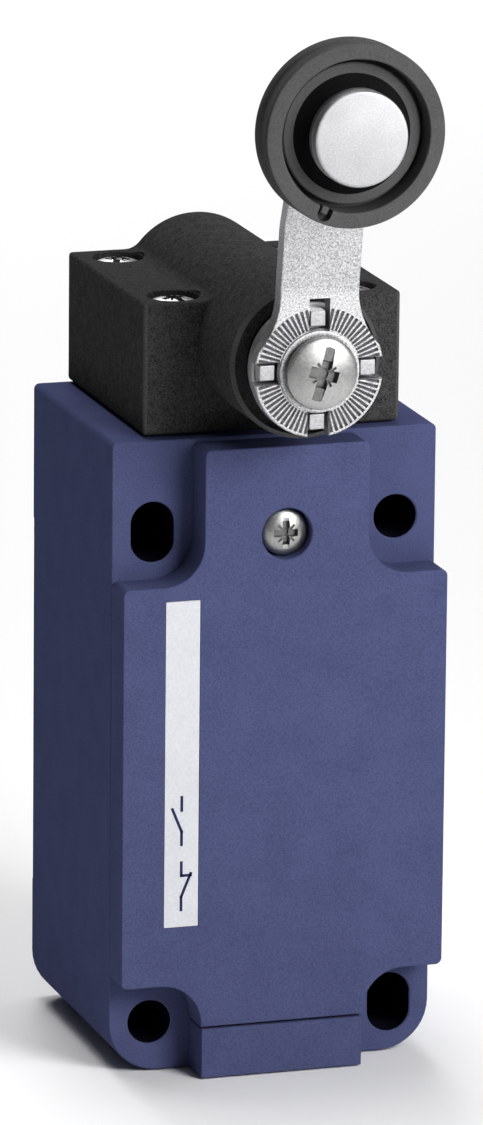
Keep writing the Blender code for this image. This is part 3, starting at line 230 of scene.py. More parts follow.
def spun(profile, axis, centre, steps=96):
    """Turns a closed outline of (radius, along) about the axis through centre."""
    along = {"Y": UNIT_Y, "Z": Vector((0, 0, 1))}[axis]
    base = Vector(centre)
    shape = bmesh.new()
    line = [
        shape.verts.new(base + Vector((radius, 0, 0)) + along * reach) for radius, reach in profile
    ]
    edges = [shape.edges.new(pair) for pair in zip(line, line[1:])]
    if profile[0][0] > 0:
        edges.append(shape.edges.new((line[-1], line[0])))
    bmesh.ops.spin(
        shape,
        geom=line + edges,
        cent=base,
        axis=along,
        angle=2 * math.pi,
        steps=steps,
        use_merge=True,
    )
    bmesh.ops.remove_doubles(shape, verts=shape.verts, dist=1e-8)
    bmesh.ops.recalc_face_normals(shape, faces=shape.faces)
    return shape


def drill(axis, centre, radius, start, end, flare=0.0, steps=64):
    """A round cutter that widens by flare over its last stretch before start."""
    sign = 1 if end > start else -1
    profile = [(0, start - sign * MM), (radius + flare, start - sign * MM)]
    if flare:
        profile += [(radius + flare, start), (radius, start + sign * flare)]
    profile += [(radius, end), (0, end)]
    return spun(profile, axis, centre, steps)


def to_object(name, shape):
    """An object in the scene for a finished shape, which is freed."""
    mesh = bpy.data.meshes.new(name)
    shape.to_mesh(mesh)
    shape.free()
    piece = bpy.data.objects.new(name, mesh)
    scene.collection.objects.link(piece)
    return piece


def carve(piece, shape, operation="DIFFERENCE"):
    """Cuts a shape from a piece, or joins it on, and keeps only the result."""
    tool = to_object("tool", shape)
    step = piece.modifiers.new("carve", "BOOLEAN")
    step.operation = operation
    step.object = tool
    graph = bpy.context.evaluated_depsgraph_get()
    result = bpy.data.meshes.new_from_object(piece.evaluated_get(graph))
    piece.modifiers.clear()
    old = piece.data
    piece.data = result
    bpy.data.meshes.remove(old)
    bpy.data.objects.remove(tool)


def settle(piece, name, body, material, nodes, sharp=28, trims=()):
    """Shades the piece, gives it its finish, and sets it in place of its CAD nodes.

    trims are (material, test) pairs for faces with a finish of their own.
    """
    piece.name = name
    piece.data.materials.clear()
    piece.data.materials.append(material)
    for face in piece.data.polygons:
        face.material_index = 0
    for number, (finish, test) in enumerate(trims, 1):
        piece.data.materials.append(finish)
        for face in piece.data.polygons:
            if test(face.center, face.normal):
                face.material_index = number
    piece.data.shade_smooth()
    piece.data.set_sharp_from_angle(angle=math.radians(sharp))
    weighting = piece.modifiers.new("even_faces", "WEIGHTED_NORMAL")
    weighting.keep_sharp = True
    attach(piece, body)
    if nodes:
        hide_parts(*nodes)


def add_node(material, kind, **settings):
    """A new shader node with the given settings."""
    node = material.node_tree.nodes.new(kind)
    for key, value in settings.items():
        setattr(node, key, value)
    return node


def noise(material, size, detail=2.0, roughness=0.5):
    """A noise pattern whose features are about size across, in metres."""
    coordinates = add_node(material, "ShaderNodeTexCoord")
    pattern = add_node(material, "ShaderNodeTexNoise")
    pattern.inputs["Scale"].default_value = 1.0 / size
    pattern.inputs["Detail"].default_value = detail
    pattern.inputs["Roughness"].default_value = roughness
    material.node_tree.links.new(coordinates.outputs["Object"], pattern.inputs["Vector"])
    return pattern.outputs["Fac"]


def remap(material, source, low, high, from_low=0.3, from_high=0.7):
    """The source stretched from its own range, as noise mostly has it, to low..high."""
    node = add_node(material, "ShaderNodeMapRange")
    node.inputs["From Min"].default_value = from_low
    node.inputs["From Max"].default_value = from_high
    node.inputs["To Min"].default_value = low
    node.inputs["To Max"].default_value = high
    material.node_tree.links.new(source, node.inputs["Value"])
    return node.outputs["Result"]


def blend_colours(material, factor, first, second):
    """A colour between two, by a factor. The node's sockets 6 and 7 are its colours."""
    node = add_node(material, "ShaderNodeMix", data_type="RGBA")
    node.inputs[6].default_value = (*first, 1)
    node.inputs[7].default_value = (*second, 1)
    material.node_tree.links.new(factor, node.inputs["Factor"])
    return node.outputs[2]


def bump(material, height, depth, under=None):
    """A relief of the given depth, over another relief if there is one."""
    node = add_node(material, "ShaderNodeBump")
    node.inputs["Distance"].default_value = depth
    material.node_tree.links.new(height, node.inputs["Height"])
    if under:
        material.node_tree.links.new(under, node.inputs["Normal"])
    return node.outputs["Normal"]


CLOUD_SHARE = 0.25


def moulded(name, dark, light, roughness, grain, depth, mottle=4.0 * MM, shine=0.0):
    """A moulded plastic: a fine spark grain, with slow changes of shade and gloss."""
    material = bpy.data.materials.new(name)
    material.use_nodes = True
    links = material.node_tree.links
    shader = material.node_tree.nodes["Principled BSDF"]
    shader.inputs["Specular IOR Level"].default_value = shine
    cloud = noise(material, mottle, 3.0)
    fine = noise(material, grain, 3.0, 0.6)
    mixed = add_node(material, "ShaderNodeMath", operation="MULTIPLY_ADD")
    mixed.inputs[1].default_value = 1 - CLOUD_SHARE
    links.new(fine, mixed.inputs[0])
    scaled = add_node(material, "ShaderNodeMath", operation="MULTIPLY")
    scaled.inputs[1].default_value = CLOUD_SHARE
    links.new(cloud, scaled.inputs[0])
    links.new(scaled.outputs[0], mixed.inputs[2])
    factor = remap(material, mixed.outputs[0], 0.0, 1.0, 0.35, 0.65)
    links.new(blend_colours(material, factor, dark, light), shader.inputs["Base Color"])
    links.new(remap(material, fine, roughness - 0.07, roughness + 0.09), shader.inputs["Roughness"])
    pits = bump(material, noise(material, grain * 0.55, 2.0), depth * 0.6)
    links.new(bump(material, fine, depth, pits), shader.inputs["Normal"])
    return material


housing_blue = moulded(
    "housing_blue", (0.050, 0.0570, 0.128), (0.074, 0.0840, 0.178), 0.46, 0.22 * MM, 0.016 * MM
)
# A near-black blue painted on the fixing holes' walls as painted shade.
bore_painted_shade = moulded(
    "bore_painted_shade", (0.004, 0.004, 0.009), (0.007, 0.007, 0.014), 0.7, 0.22 * MM, 0.016 * MM
)

body_low, body_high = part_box("housing_body")
HALF, BODY_DEPTH = body_high.x, 33 * MM
FLANGE = body_high.y - BODY_DEPTH
FOOT_CORNER, TOP_CORNER = 6.0 * MM, 0.7 * MM
HOLE_X, HOLE_DROP = 15 * MM, 60 * MM

housing = to_object(
    "housing",
    slab(
        [(-HALF, body_low.z), (HALF, body_low.z), (HALF, body_high.z), (-HALF, body_high.z)],
        FLANGE,
        0,
        corners=[(FOOT_CORNER, [0, 1]), (TOP_CORNER, [2, 3])],
        rim=0.2 * MM,
        back_rim=0.35 * MM,
    ),
)
NOSE_HALF, NOSE_HEIGHT, NOSE_ROOT = 10 * MM, 6.06 * MM, 1.5 * MM
nose_low = (-NOSE_HALF, body_low.y, body_low.z)
nose_high = (NOSE_HALF, FLANGE + NOSE_ROOT, body_low.z + NOSE_HEIGHT)
carve(housing, brick(nose_low, nose_high, 0.16 * MM), "UNION")

# The back stands on two pads, with a shallow relief between them.
RELIEF_DEPTH, RELIEF_FOOT, RELIEF_TOP = 0.5 * MM, 15 * MM, -5.5 * MM
relief_low = (-HALF - MM, -RELIEF_DEPTH, body_low.z + RELIEF_FOOT)
carve(housing, brick(relief_low, (HALF + MM, MM, RELIEF_TOP), 0.15 * MM, 2))

# The wiring chamber, the pocket over the entry, and the throat under the head.
SIDE_WALL, BACK_WALL, CHAMBER_CORNER = 3.5 * MM, 4 * MM, 2 * MM
chamber_half, chamber_low, chamber_high = HALF - SIDE_WALL, body_low.z + 15.2 * MM, -9.3 * MM
carve(
    housing,
    slab(
        [
            (-chamber_half, chamber_low),
            (chamber_half, chamber_low),
            (chamber_half, chamber_high),
            (-chamber_half, chamber_high),
        ],
        FLANGE - MM,
        -BACK_WALL,
        corners=[(CHAMBER_CORNER, [0, 1, 2, 3])],
        back_rim=0.8 * MM,
    ),
)
POCKET_HALF, POCKET_LIP = 9.8 * MM, 3 * MM
pocket_floor = body_low.z + 9 * MM
pocket_low = (-POCKET_HALF, FLANGE + POCKET_LIP, pocket_floor)
pocket_high = (POCKET_HALF, -BACK_WALL - 0.02 * MM, chamber_low + MM)
carve(housing, brick(pocket_low, pocket_high, 0.5 * MM))
ENTRY_Y, ENTRY_RADIUS = -16.5 * MM, 9.4 * MM
carve(housing, drill("Z", (0, ENTRY_Y, 0), ENTRY_RADIUS, body_low.z, pocket_floor + MM, 0.6 * MM, 96))
THREAD_PITCH, THREAD_CREST, THREAD_ROOT = 1.5 * MM, 9.3 * MM, 9.95 * MM
for turn in range(5):
    start = body_low.z + 1.3 * MM + turn * THREAD_PITCH
    thread = [(THREAD_CREST, start), (THREAD_ROOT, start + 0.5 * MM), (THREAD_CREST, start + 1.0 * MM)]
    carve(housing, spun(thread, "Z", (0, ENTRY_Y, 0), 96))

# Two of the four fixing holes, across one diagonal, are stretched into slots.
HOLE_RADIUS, HOLE_MOUTH, SLOT_STRETCH = 2.65 * MM, 0.15 * MM, MM
for side, row in ((-1, 0), (1, 0), (-1, 1), (1, 1)):
    centre = Vector((side * HOLE_X, 0, -row * HOLE_DROP))
    hole = drill("Y", centre, HOLE_RADIUS, FLANGE, MM, HOLE_MOUTH)
    if (side < 0) == (row == 0):
        for vert in hole.verts:
            rise = vert.co.z - centre.z
            if abs(rise) > 1e-6:
                vert.co.z += math.copysign(SLOT_STRETCH, rise)
    carve(housing, hole)

# The plunger's spring pocket, its stem's hole, and the throat it reaches down to.
PLUNGER_Y, SPRING_POCKET, STEM_HOLE = -15 * MM, 5.2 * MM, 2.3 * MM
carve(housing, drill("Z", (0, PLUNGER_Y, 0), SPRING_POCKET, body_high.z, 3 * MM))
carve(housing, drill("Z", (0, PLUNGER_Y, 0), STEM_HOLE, 4 * MM, -10 * MM))
carve(housing, brick((-8 * MM, -22 * MM, -11 * MM), (8 * MM, -8 * MM, 0.5 * MM), 0.8 * MM))

PAN_HOLE, SMALL_HOLE = 1.9 * MM, 1.7 * MM
carve(housing, drill("Y", (0, 0, 0), PAN_HOLE, FLANGE, FLANGE + 8.5 * MM, 0.3 * MM))

SCREW_X, SCREW_FRONT, SCREW_BACK = 10.9 * MM, -27.275 * MM, -4.675 * MM
head_screw_spots = [(x, y) for y in (SCREW_FRONT, SCREW_BACK) for x in (-SCREW_X, SCREW_X)]
for x, y in head_screw_spots:
    carve(housing, drill("Z", (x, y, 0), PAN_HOLE, body_high.z, 4.3 * MM))
for node in ("block_screw_1", "block_screw_2", "earth_screw"):
    screw_low, screw_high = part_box(node)
    spot = ((screw_low.x + screw_high.x) / 2, 0, (screw_low.z + screw_high.z) / 2)
    carve(housing, drill("Y", spot, SMALL_HOLE, -BACK_WALL, -1.2 * MM))


def in_fixing_hole(spot, normal):
    """The walls of the four fixing holes, behind their rounded mouths, which get a near-black blue as
    painted shade.
    """
    across = math.hypot(abs(spot.x) - HOLE_X, min(abs(spot.z), abs(spot.z + HOLE_DROP)))
    return across < 4 * MM and abs(normal.y) < 0.2 and spot.y > FLANGE + 0.1 * MM


settle(
    housing,
    "housing_moulding",
    "housing",
    housing_blue,
    ["housing_body"],
    trims=[(bore_painted_shade, in_fixing_hole)],
)

# ---------------------------------------------------------------- Cover
# The cover is moulded in the same blue as the body. Its stem runs up under the
# lever, its tongue drops behind the nose, and it is notched round the holes.

cover_low, cover_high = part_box("front_cover")
COVER_FRONT, COVER_BACK = cover_low.y, cover_high.y
STEM, SHOULDER, SKIRT = 10.1 * MM, -5.6 * MM, -54.25 * MM
WAIST_CORNER, OUTER_CORNER = 5.0 * MM, 0.8 * MM
cover_points = [
    (-STEM, cover_low.z),
    (STEM, cover_low.z),
    (STEM, SKIRT),
    (HALF, SKIRT),
    (HALF, SHOULDER),
    (STEM, SHOULDER),
    (STEM, cover_high.z),
    (-STEM, cover_high.z),
    (-STEM, SHOULDER),
    (-HALF, SHOULDER),
    (-HALF, SKIRT),
    (-STEM, SKIRT),
]
cover = to_object(
    "cover",
    slab(
        cover_points,
        COVER_FRONT,
        COVER_BACK,
        corners=[(WAIST_CORNER, [2, 5, 8, 11]), (OUTER_CORNER, [3, 4, 6, 7, 9, 10])],
        rim=0.16 * MM,
    ),
)

# The inside is hollowed a little, within the seal's groove.
HOLLOW = 2.5 * MM
inner_half, inner_low, inner_high = chamber_half - MM, chamber_low + MM, chamber_high - MM
carve(
    cover,
    slab(
        [
            (-inner_half, inner_low),
            (inner_half, inner_low),
            (inner_half, inner_high),
            (-inner_half, inner_high),
        ],
        COVER_BACK - HOLLOW,
        FLANGE + MM,
        corners=[(CHAMBER_CORNER, [0, 1, 2, 3])],
        rim=0.4 * MM,
    ),
)
gasket_low, gasket_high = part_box("cover_gasket")
GROOVE_GAP, GROOVE_WIDE = 0.15 * MM, 1.8 * MM
groove_half = gasket_high.x + GROOVE_GAP
groove_low, groove_high = gasket_low.z - GROOVE_GAP, gasket_high.z + GROOVE_GAP
groove = slab(
    [
        (-groove_half, groove_low),
        (groove_half, groove_low),
        (groove_half, groove_high),
        (-groove_half, groove_high),
    ],
    gasket_low.y - 0.3 * MM,
    FLANGE + MM,
    corners=[(3.9 * MM, [0, 1, 2, 3])],
)
groove_tool = to_object("groove", groove)
core_half = groove_half - GROOVE_WIDE
core_low, core_high = groove_low + GROOVE_WIDE, groove_high - GROOVE_WIDE
core = slab(
    [
        (-core_half, core_low),
        (core_half, core_low),
        (core_half, core_high),
        (-core_half, core_high),
    ],
    gasket_low.y - 2 * MM,
    FLANGE + 2 * MM,
    corners=[(2.2 * MM, [0, 1, 2, 3])],
)
carve(groove_tool, core)
ring_shape = bmesh.new()
ring_shape.from_mesh(groove_tool.data)
bpy.data.objects.remove(groove_tool)
carve(cover, ring_shape)

# The screw's counterbore and hole, the seat of its retaining ring, and the strip's seat.
COUNTERBORE, BORE_MOUTH, RING_SEAT, SEAT = 3.1 * MM, 0.12 * MM, 3.6 * MM, 0.06 * MM
carve(cover, drill("Y", (0, 0, 0), COUNTERBORE, COVER_FRONT, COVER_FRONT + 2.6 * MM, BORE_MOUTH))
carve(cover, drill("Y", (0, 0, 0), PAN_HOLE, COVER_FRONT + 2.5 * MM, FLANGE + MM))
carve(cover, drill("Y", (0, 0, 0), RING_SEAT, FLANGE, COVER_BACK - 1.2 * MM))
label_low, label_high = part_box("label_strip")
carve(
    cover,
    brick(
        (label_low.x - SEAT, COVER_FRONT - MM, label_low.z - SEAT),
        (label_high.x + SEAT, label_high.y + SEAT, label_high.z + SEAT),
    ),
)
settle(cover, "cover_moulding", "cover", housing_blue, ["front_cover"])

# ---------------------------------------------------------------- Marking strip
# A white printed strip lies flush in the cover. It carries plain contact
# symbols, one break and one make contact, in place of any lettering.

label_white = moulded(
    "label_white", (0.54, 0.55, 0.58), (0.61, 0.62, 0.65), 0.42, 0.3 * MM, 0.002 * MM
)
marking = to_object("strip", brick(label_low, label_high, 0.05 * MM, 2))
settle(marking, "marking_strip", "cover", label_white, ["label_strip"])

print_blue = moulded(
    "print_blue", (0.02, 0.022, 0.07), (0.03, 0.032, 0.09), 0.5, 0.2 * MM, 0.001 * MM
)
PRINT_THICK, LINE = 0.02 * MM, 0.34 * MM
strip_x = (label_low.x + label_high.x) / 2
symbols = bmesh.new()


def stroke(start, end):
    """A printed line between two points across the strip."""
    first, last = Vector((start[0], 0, start[1])), Vector((end[0], 0, end[1]))
    run = last - first
    before = set(symbols.verts)
    bmesh.ops.create_cube(symbols, size=1.0)
    fresh = [vert for vert in symbols.verts if vert not in before]
    bmesh.ops.scale(symbols, verts=fresh, vec=(run.length + LINE, PRINT_THICK, LINE))
    turn = Matrix.Rotation(-math.atan2(run.z, run.x), 3, "Y")
    bmesh.ops.rotate(symbols, verts=fresh, cent=(0, 0, 0), matrix=turn)
    middle = (first + last) / 2
    middle.y = label_low.y - PRINT_THICK / 2
    bmesh.ops.translate(symbols, verts=fresh, vec=middle)


# Each symbol is two leads and a blade. The break contact's blade meets a short foot.
LEAD_NEAR, LEAD_FAR, BLADE_TIP = 1.3 * MM, 2.9 * MM, 1.5 * MM
for middle_z, opening in ((-42 * MM, 1.15 * MM), (-34 * MM, -1.15 * MM)):
    stroke((strip_x, middle_z - LEAD_FAR), (strip_x, middle_z - LEAD_NEAR))
    stroke((strip_x, middle_z + LEAD_NEAR), (strip_x, middle_z + LEAD_FAR))
    stroke((strip_x, middle_z - LEAD_NEAR), (strip_x + opening, middle_z + BLADE_TIP))
    if opening > 0:
        stroke((strip_x, middle_z + LEAD_NEAR), (strip_x + opening, middle_z + LEAD_NEAR))
settle(to_object("symbols", symbols), "contact_symbols", "cover", print_blue, [])

# ---------------------------------------------------------------- Operating head
# The head is moulded in black glass-filled plastic. A barrel for the shaft runs
# through it and stands out at the front, with a screw at each corner.

head_black = moulded(
    "head_black", (0.016, 0.016, 0.016), (0.066, 0.066, 0.066), 0.5, 0.20 * MM, 0.022 * MM, 0.9 * MM
)
# A lighter grey on the head's lip and front corners: a painted highlight.
head_edge_highlight = moulded(
    "head_edge_highlight", (0.045, 0.045, 0.046), (0.080, 0.080, 0.082), 0.4, 0.20 * MM, 0.006 * MM
)
head_low, head_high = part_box("head_housing")
SHAFT_Z = 22 * MM
HEAD_HALF, WING_TOP, HEAD_FRONT = head_high.x, 27 * MM, -31.65 * MM
BARREL, FILLET = 9.1 * MM, 2.4 * MM
fillet_rise = WING_TOP + FILLET - SHAFT_Z
fillet_x = math.sqrt((BARREL + FILLET) ** 2 - fillet_rise**2)
lean_angle = math.degrees(math.atan2(fillet_rise, fillet_x))
section = [(-HEAD_HALF, head_low.z), (HEAD_HALF, head_low.z), (HEAD_HALF, WING_TOP)]
section += arc_points((fillet_x, WING_TOP + FILLET), FILLET, 270, 180 + lean_angle, 8)
section += arc_points((0, SHAFT_Z), BARREL, lean_angle, 180 - lean_angle, 32)[1:-1]
section += arc_points((-fillet_x, WING_TOP + FILLET), FILLET, -lean_angle, -90, 8)
section += [(-HEAD_HALF, WING_TOP)]
head_shape = slab(section, HEAD_FRONT, head_high.y)
corner_edges = [
    edge
    for edge in head_shape.edges
    if len(edge.link_faces) == 2 and edge.calc_face_angle() > math.radians(50)
]
round_edges(head_shape, corner_edges, 0.45 * MM)
head = to_object("head", head_shape)
# The barrel's own surface stands a hair proud of the block, with a lip at the front.
LIP, BACK_CHAMFER, PROUD = 0.45 * MM, 0.6 * MM, 0.04 * MM
barrel_radius = BARREL + PROUD
barrel_back = head_high.y - 0.02 * MM
barrel_profile = [
    (0, head_low.y),
    (barrel_radius - LIP, head_low.y),
    (barrel_radius, head_low.y + LIP),
    (barrel_radius, head_high.y - BACK_CHAMFER),
    (barrel_radius - BACK_CHAMFER, barrel_back),
    (0, barrel_back),
]
carve(head, spun(barrel_profile, "Y", (0, 0, SHAFT_Z), 128), "UNION")
mouth_inner, mouth_outer = 6.0 * MM, barrel_radius - LIP - 0.1 * MM
mouth_end = head_low.y + 1.2 * MM
mouth = [
    (mouth_inner, head_low.y - MM),
    (mouth_outer, head_low.y - MM),
    (mouth_outer, mouth_end),
    (mouth_inner, mouth_end),
]
carve(head, spun(mouth, "Y", (0, 0, SHAFT_Z), 128))

# Along the shaft: the bush's seat, the cam's chamber and the tail bearing. The
# plunger's well and its seal's groove come up from below.
BUSH_SEAT, CAM_CHAMBER, TAIL_BORE = 6.8 * MM, 6.3 * MM, 3.6 * MM
seat_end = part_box("shaft_bush")[1].y + 0.3 * MM
carve(head, drill("Y", (0, 0, SHAFT_Z), BUSH_SEAT, head_low.y, seat_end, 0, 96))
carve(head, drill("Y", (0, 0, SHAFT_Z), CAM_CHAMBER, seat_end - MM, -6.3 * MM))
carve(head, drill("Y", (0, 0, SHAFT_Z), TAIL_BORE, -7 * MM, -2.8 * MM))
carve(head, drill("Z", (0, PLUNGER_Y, 0), SPRING_POCKET, head_low.z, SHAFT_Z))
seal_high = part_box("head_gasket")[1]
seal_outer = seal_high.x + GROOVE_GAP
seal_inner = seal_outer - GROOVE_WIDE
seal_groove = [
    (seal_inner, head_low.z - MM),
    (seal_outer, head_low.z - MM),
    (seal_outer, seal_high.z + GROOVE_GAP),
    (seal_inner, seal_high.z + GROOVE_GAP),
]
carve(head, spun(seal_groove, "Z", (0, PLUNGER_Y, 0), 64))
POCKET_FLOOR = WING_TOP - 2.5 * MM
for x, y in head_screw_spots:
    carve(head, drill("Z", (x, y, 0), COUNTERBORE, WING_TOP, POCKET_FLOOR, BORE_MOUTH))
    carve(head, drill("Z", (x, y, 0), PAN_HOLE, POCKET_FLOOR + 0.1 * MM, head_low.z - MM))


def on_highlit_edge(spot, normal):
    """The barrel's lip and the block's front corners, which get a lighter grey as a painted highlight.
    """
    from_axis = math.hypot(spot.x, spot.z - SHAFT_Z)
    on_lip = abs(spot.y - head_low.y) < LIP and from_axis > barrel_radius - LIP - 0.11 * MM
    slanting = min(abs(normal.x), abs(normal.y)) > 0.15
    at_side, at_front = HEAD_HALF - abs(spot.x) < 0.4 * MM, abs(spot.y - HEAD_FRONT) < 0.4 * MM
    return on_lip or (slanting and at_side and at_front)


settle(
    head,
    "head_moulding",
    "housing",
    head_black,
    ["head_housing"],
    trims=[(head_edge_highlight, on_highlit_edge)],
)

# ---------------------------------------------------------------- Screws
# Combination screws, cold headed and zinc plated: a shallow slot runs right
# across a deeper cross recess, which has small corner marks between its wings.


def plated(name, colour, roughness, speckle, depth, contrast=0.12):
    """A bright zinc plate: fine crystals vary its shade and gloss."""
    material = bpy.data.materials.new(name)
    material.use_nodes = True
    links = material.node_tree.links
    shader = material.node_tree.nodes["Principled BSDF"]
    shader.inputs["Metallic"].default_value = 1.0
    crystals = noise(material, speckle, 3.0, 0.65)
    dark = tuple(value * (1 - contrast) for value in colour)
    light = tuple(min(value * (1 + contrast), 1.0) for value in colour)
    factor = remap(material, crystals, 0.0, 1.0, 0.36, 0.64)
    links.new(blend_colours(material, factor, dark, light), shader.inputs["Base Color"])
    stains = noise(material, 3.5 * MM, 3.0)
    gloss = add_node(material, "ShaderNodeMath", operation="MULTIPLY_ADD")
    gloss.inputs[1].default_value = 0.12
    links.new(remap(material, stains, 0.0, 1.0), gloss.inputs[0])
    links.new(remap(material, crystals, roughness - 0.06, roughness + 0.08), gloss.inputs[2])
    links.new(gloss.outputs[0], shader.inputs["Roughness"])
    links.new(bump(material, crystals, depth), shader.inputs["Normal"])
    return material


# A darker grey for the faces inside the screws' slots and recesses: painted shade.
recess_painted_shade = plated("recess_painted_shade", (0.17, 0.17, 0.17), 0.40, 0.25 * MM, 0.002 * MM, 0.15)
screw_steel = plated("screw_steel", (0.36, 0.36, 0.355), 0.30, 0.25 * MM, 0.004 * MM)


def recess(reach, width, depth, top):
    """A tapered cross of the given reach, cut down from z = 0 at the head's top."""
    MOUTH, FLOOR = 1.06, 0.68
    shape = bmesh.new()
    half = width / 2
    points = [(reach, half), (half, half), (half, reach)]
    points += [(-half, reach), (-half, half), (-reach, half)]
    points += [(-x, -y) for x, y in points]
    ring = [shape.verts.new((x * MOUTH, y * MOUTH, top)) for x, y in points]
    face = shape.faces.new(ring)
    grown = bmesh.ops.extrude_face_region(shape, geom=[face])["geom"]
    moved = [item for item in grown if isinstance(item, bmesh.types.BMVert)]
    bmesh.ops.translate(shape, verts=moved, vec=(0, 0, -depth - top))
    bmesh.ops.scale(shape, verts=moved, vec=(FLOOR, FLOOR, 1))
    bmesh.ops.recalc_face_normals(shape, faces=shape.faces)
    return shape


def screw_body(radius, height, shank, crown, length):
    """A domed head with its top at z = 0, over a threaded shank."""
    PITCH, EDGE = 0.7 * MM, 0.15 * MM
    dome = height * (1 - crown)
    profile = [(0, 0)]
    for step in range(1, 11):
        share = step / 10
        profile.append((radius * (share - 0.03 * share**6), -dome * share**2))
    profile += [(radius, -dome - 0.12 * MM), (radius, -height + EDGE)]
    profile += [(radius - EDGE, -height), (shank, -height)]
    for thread in range(int((length - height) / PITCH)):
        root = -height - 0.4 * MM - thread * PITCH
        profile += [(shank, root), (shank * 0.84, root - PITCH / 2)]
    profile += [(shank * 0.6, -length), (0, -length)]
    return to_object("screw", spun(profile, "Z", (0, 0, 0), 64))


def fit_screw(name, body, node, length, matrix, turn, head, slot, cross):
    """Sets a screw for a CAD node, its top at the matrix's origin, turned about itself.

    head is (radius, height, shank, crown), slot is (width, depth), and cross is
    (reach, width), all of the recess. Below the dome the faces get a darker grey, as painted shade in
    the recess.
    """
    radius, height, shank, crown = head
    slot_width, slot_depth = slot
    reach, wing = cross
    piece = screw_body(radius, height, shank, crown, length)
    half, tick_half = slot_width / 2, 0.16 * MM
    slot_low, slot_high = (-half, -radius - MM, -slot_depth), (half, radius + MM, MM)
    carve(piece, brick(slot_low, slot_high, 0.08 * MM, 2))
    cross_depth = slot_depth + 0.5 * MM
    carve(piece, recess(reach, wing, cross_depth, MM))
    for step in range(4):
        tick = brick((reach * 0.3, -tick_half, -slot_depth), (reach * 0.80, tick_half, MM))
        quarter = Matrix.Rotation(math.pi / 4 + step * math.pi / 2, 3, "Z")
        bmesh.ops.rotate(tick, verts=tick.verts, cent=(0, 0, 0), matrix=quarter)
        carve(piece, tick)
    carve(piece, drill("Z", (0, 0, 0), wing * 0.48, -cross_depth, -cross_depth - 0.3 * MM, 0, 32))
    piece.data.transform(matrix @ Matrix.Rotation(turn, 4, "Z"))
    to_screw = matrix.inverted()

    def in_shaded_recess(spot, normal):
        local = to_screw @ spot
        from_axis = math.hypot(local.x, local.y)
        dome = -height * (1 - crown) * (from_axis / radius) ** 2
        return from_axis < radius * 0.96 and -height < local.z < dome - 0.10 * MM

    trims = [(recess_painted_shade, in_shaded_recess)]
    settle(piece, name, body, screw_steel, [node], trims=trims)


HEAD_TURNS = (0.35, 1.2, -0.4, 0.9)
for number, ((x, y), turn) in enumerate(zip(head_screw_spots, HEAD_TURNS), 1):
    node = f"head_screw_{number}"
    screw_low, screw_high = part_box(node)
    fit_screw(
        f"head_fixing_{number}",
        "housing",
        node,
        screw_high.z - screw_low.z,
        Matrix.Translation((x, y, screw_high.z)),
        turn,
        head=(2.8 * MM, 2.2 * MM, 1.6 * MM, 0.75),
        slot=(0.8 * MM, 0.5 * MM),
        cross=(1.7 * MM, 1.0 * MM),
    )

facing_front = Matrix.Rotation(math.pi / 2, 4, "X")
screw_low, screw_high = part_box("cover_screw")
fit_screw(
    "cover_fixing",
    "cover",
    "cover_screw",
    screw_high.y - screw_low.y,
    Matrix.Translation((0, screw_low.y, 0)) @ facing_front,
    0.0,
    head=(2.8 * MM, 2.2 * MM, 1.6 * MM, 0.62),
    slot=(0.75 * MM, 0.4 * MM),
    cross=(1.75 * MM, 1.05 * MM),
)

screw_low, screw_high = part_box("lever_screw")
fit_screw(
    "clamp_screw",
    "lever",
    "lever_screw",
    screw_high.y - screw_low.y,
    Matrix.Translation((0, screw_low.y, SHAFT_Z)) @ facing_front,
    -0.27,
    head=(4.25 * MM, 1.3 * MM, 2.0 * MM, 0.45),
    slot=(1.25 * MM, 0.42 * MM),
    cross=(2.05 * MM, 1.55 * MM),
)

# ---------------------------------------------------------------- Lever
# The lever is stamped from 2 mm strip, coined with radial serrations round its
# clamp hole, cranked forward in two bends, then barrel plated in bright zinc.

lever_zinc = plated("lever_zinc", (0.48, 0.48, 0.49), 0.44, 0.20 * MM, 0.016 * MM, 0.45)
sheared_zinc = plated("sheared_zinc", (0.33, 0.33, 0.34), 0.46, 0.30 * MM, 0.016 * MM, 0.3)
PLATE, LUG_SUNK = 2.0 * MM, 0.6 * MM
hub_low, hub_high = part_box("drive_hub")
lever_front = hub_low.y - LUG_SUNK
lever_back = lever_front + PLATE
DISC, ARM, LENGTH = 7.85 * MM, 4.8 * MM, 30 * MM
FLANK, FLANK_START = 9.7 * MM, 9.3 * MM
NOTCH, NOTCH_IN = 1.25 * MM, 4.7 * MM
flank_centre = Vector((ARM + FLANK, FLANK_START))
spread = (DISC**2 + flank_centre.length**2 - FLANK**2) / (2 * DISC * flank_centre.length)
meet = math.atan2(flank_centre.y, flank_centre.x) - math.acos(min(spread, 1.0))
meet_point = Vector((math.cos(meet), math.sin(meet))) * DISC
from_flank = meet_point - flank_centre
flank_end = 360 + math.degrees(math.atan2(from_flank.y, from_flank.x))
notch_angle = math.degrees(math.asin(NOTCH / DISC))
half_outline = arc_points((0, LENGTH), ARM, 90, 0, 20)
half_outline += arc_points(flank_centre, FLANK, 180, flank_end, 14)
half_outline += arc_points((0, 0), DISC, math.degrees(meet), notch_angle, 5)[1:]
half_outline += [(NOTCH_IN, NOTCH), (NOTCH_IN, -NOTCH)]
half_outline += arc_points((0, 0), DISC, -notch_angle, -90 + notch_angle, 24)
half_outline += [(NOTCH, -NOTCH_IN)]
outline = half_outline + [(-x, z) for x, z in reversed(half_outline[1:])]
outline = [(x, SHAFT_Z + z) for x, z in outline]
plate = to_object(
    "plate", slab(outline, lever_front, lever_back, rim=0.22 * MM, back_rim=0.1 * MM, steps=3)
)

CLAMP_HOLE, WINDOW_TOP = 2.3 * MM, 8.6 * MM
carve(plate, drill("Y", (0, 0, SHAFT_Z), CLAMP_HOLE, lever_front - MM, lever_back + MM))
carve(
    plate,
    brick(
        (-NOTCH, lever_front - MM, SHAFT_Z + NOTCH_IN),
        (NOTCH, lever_back + MM, SHAFT_Z + WINDOW_TOP),
    ),
)

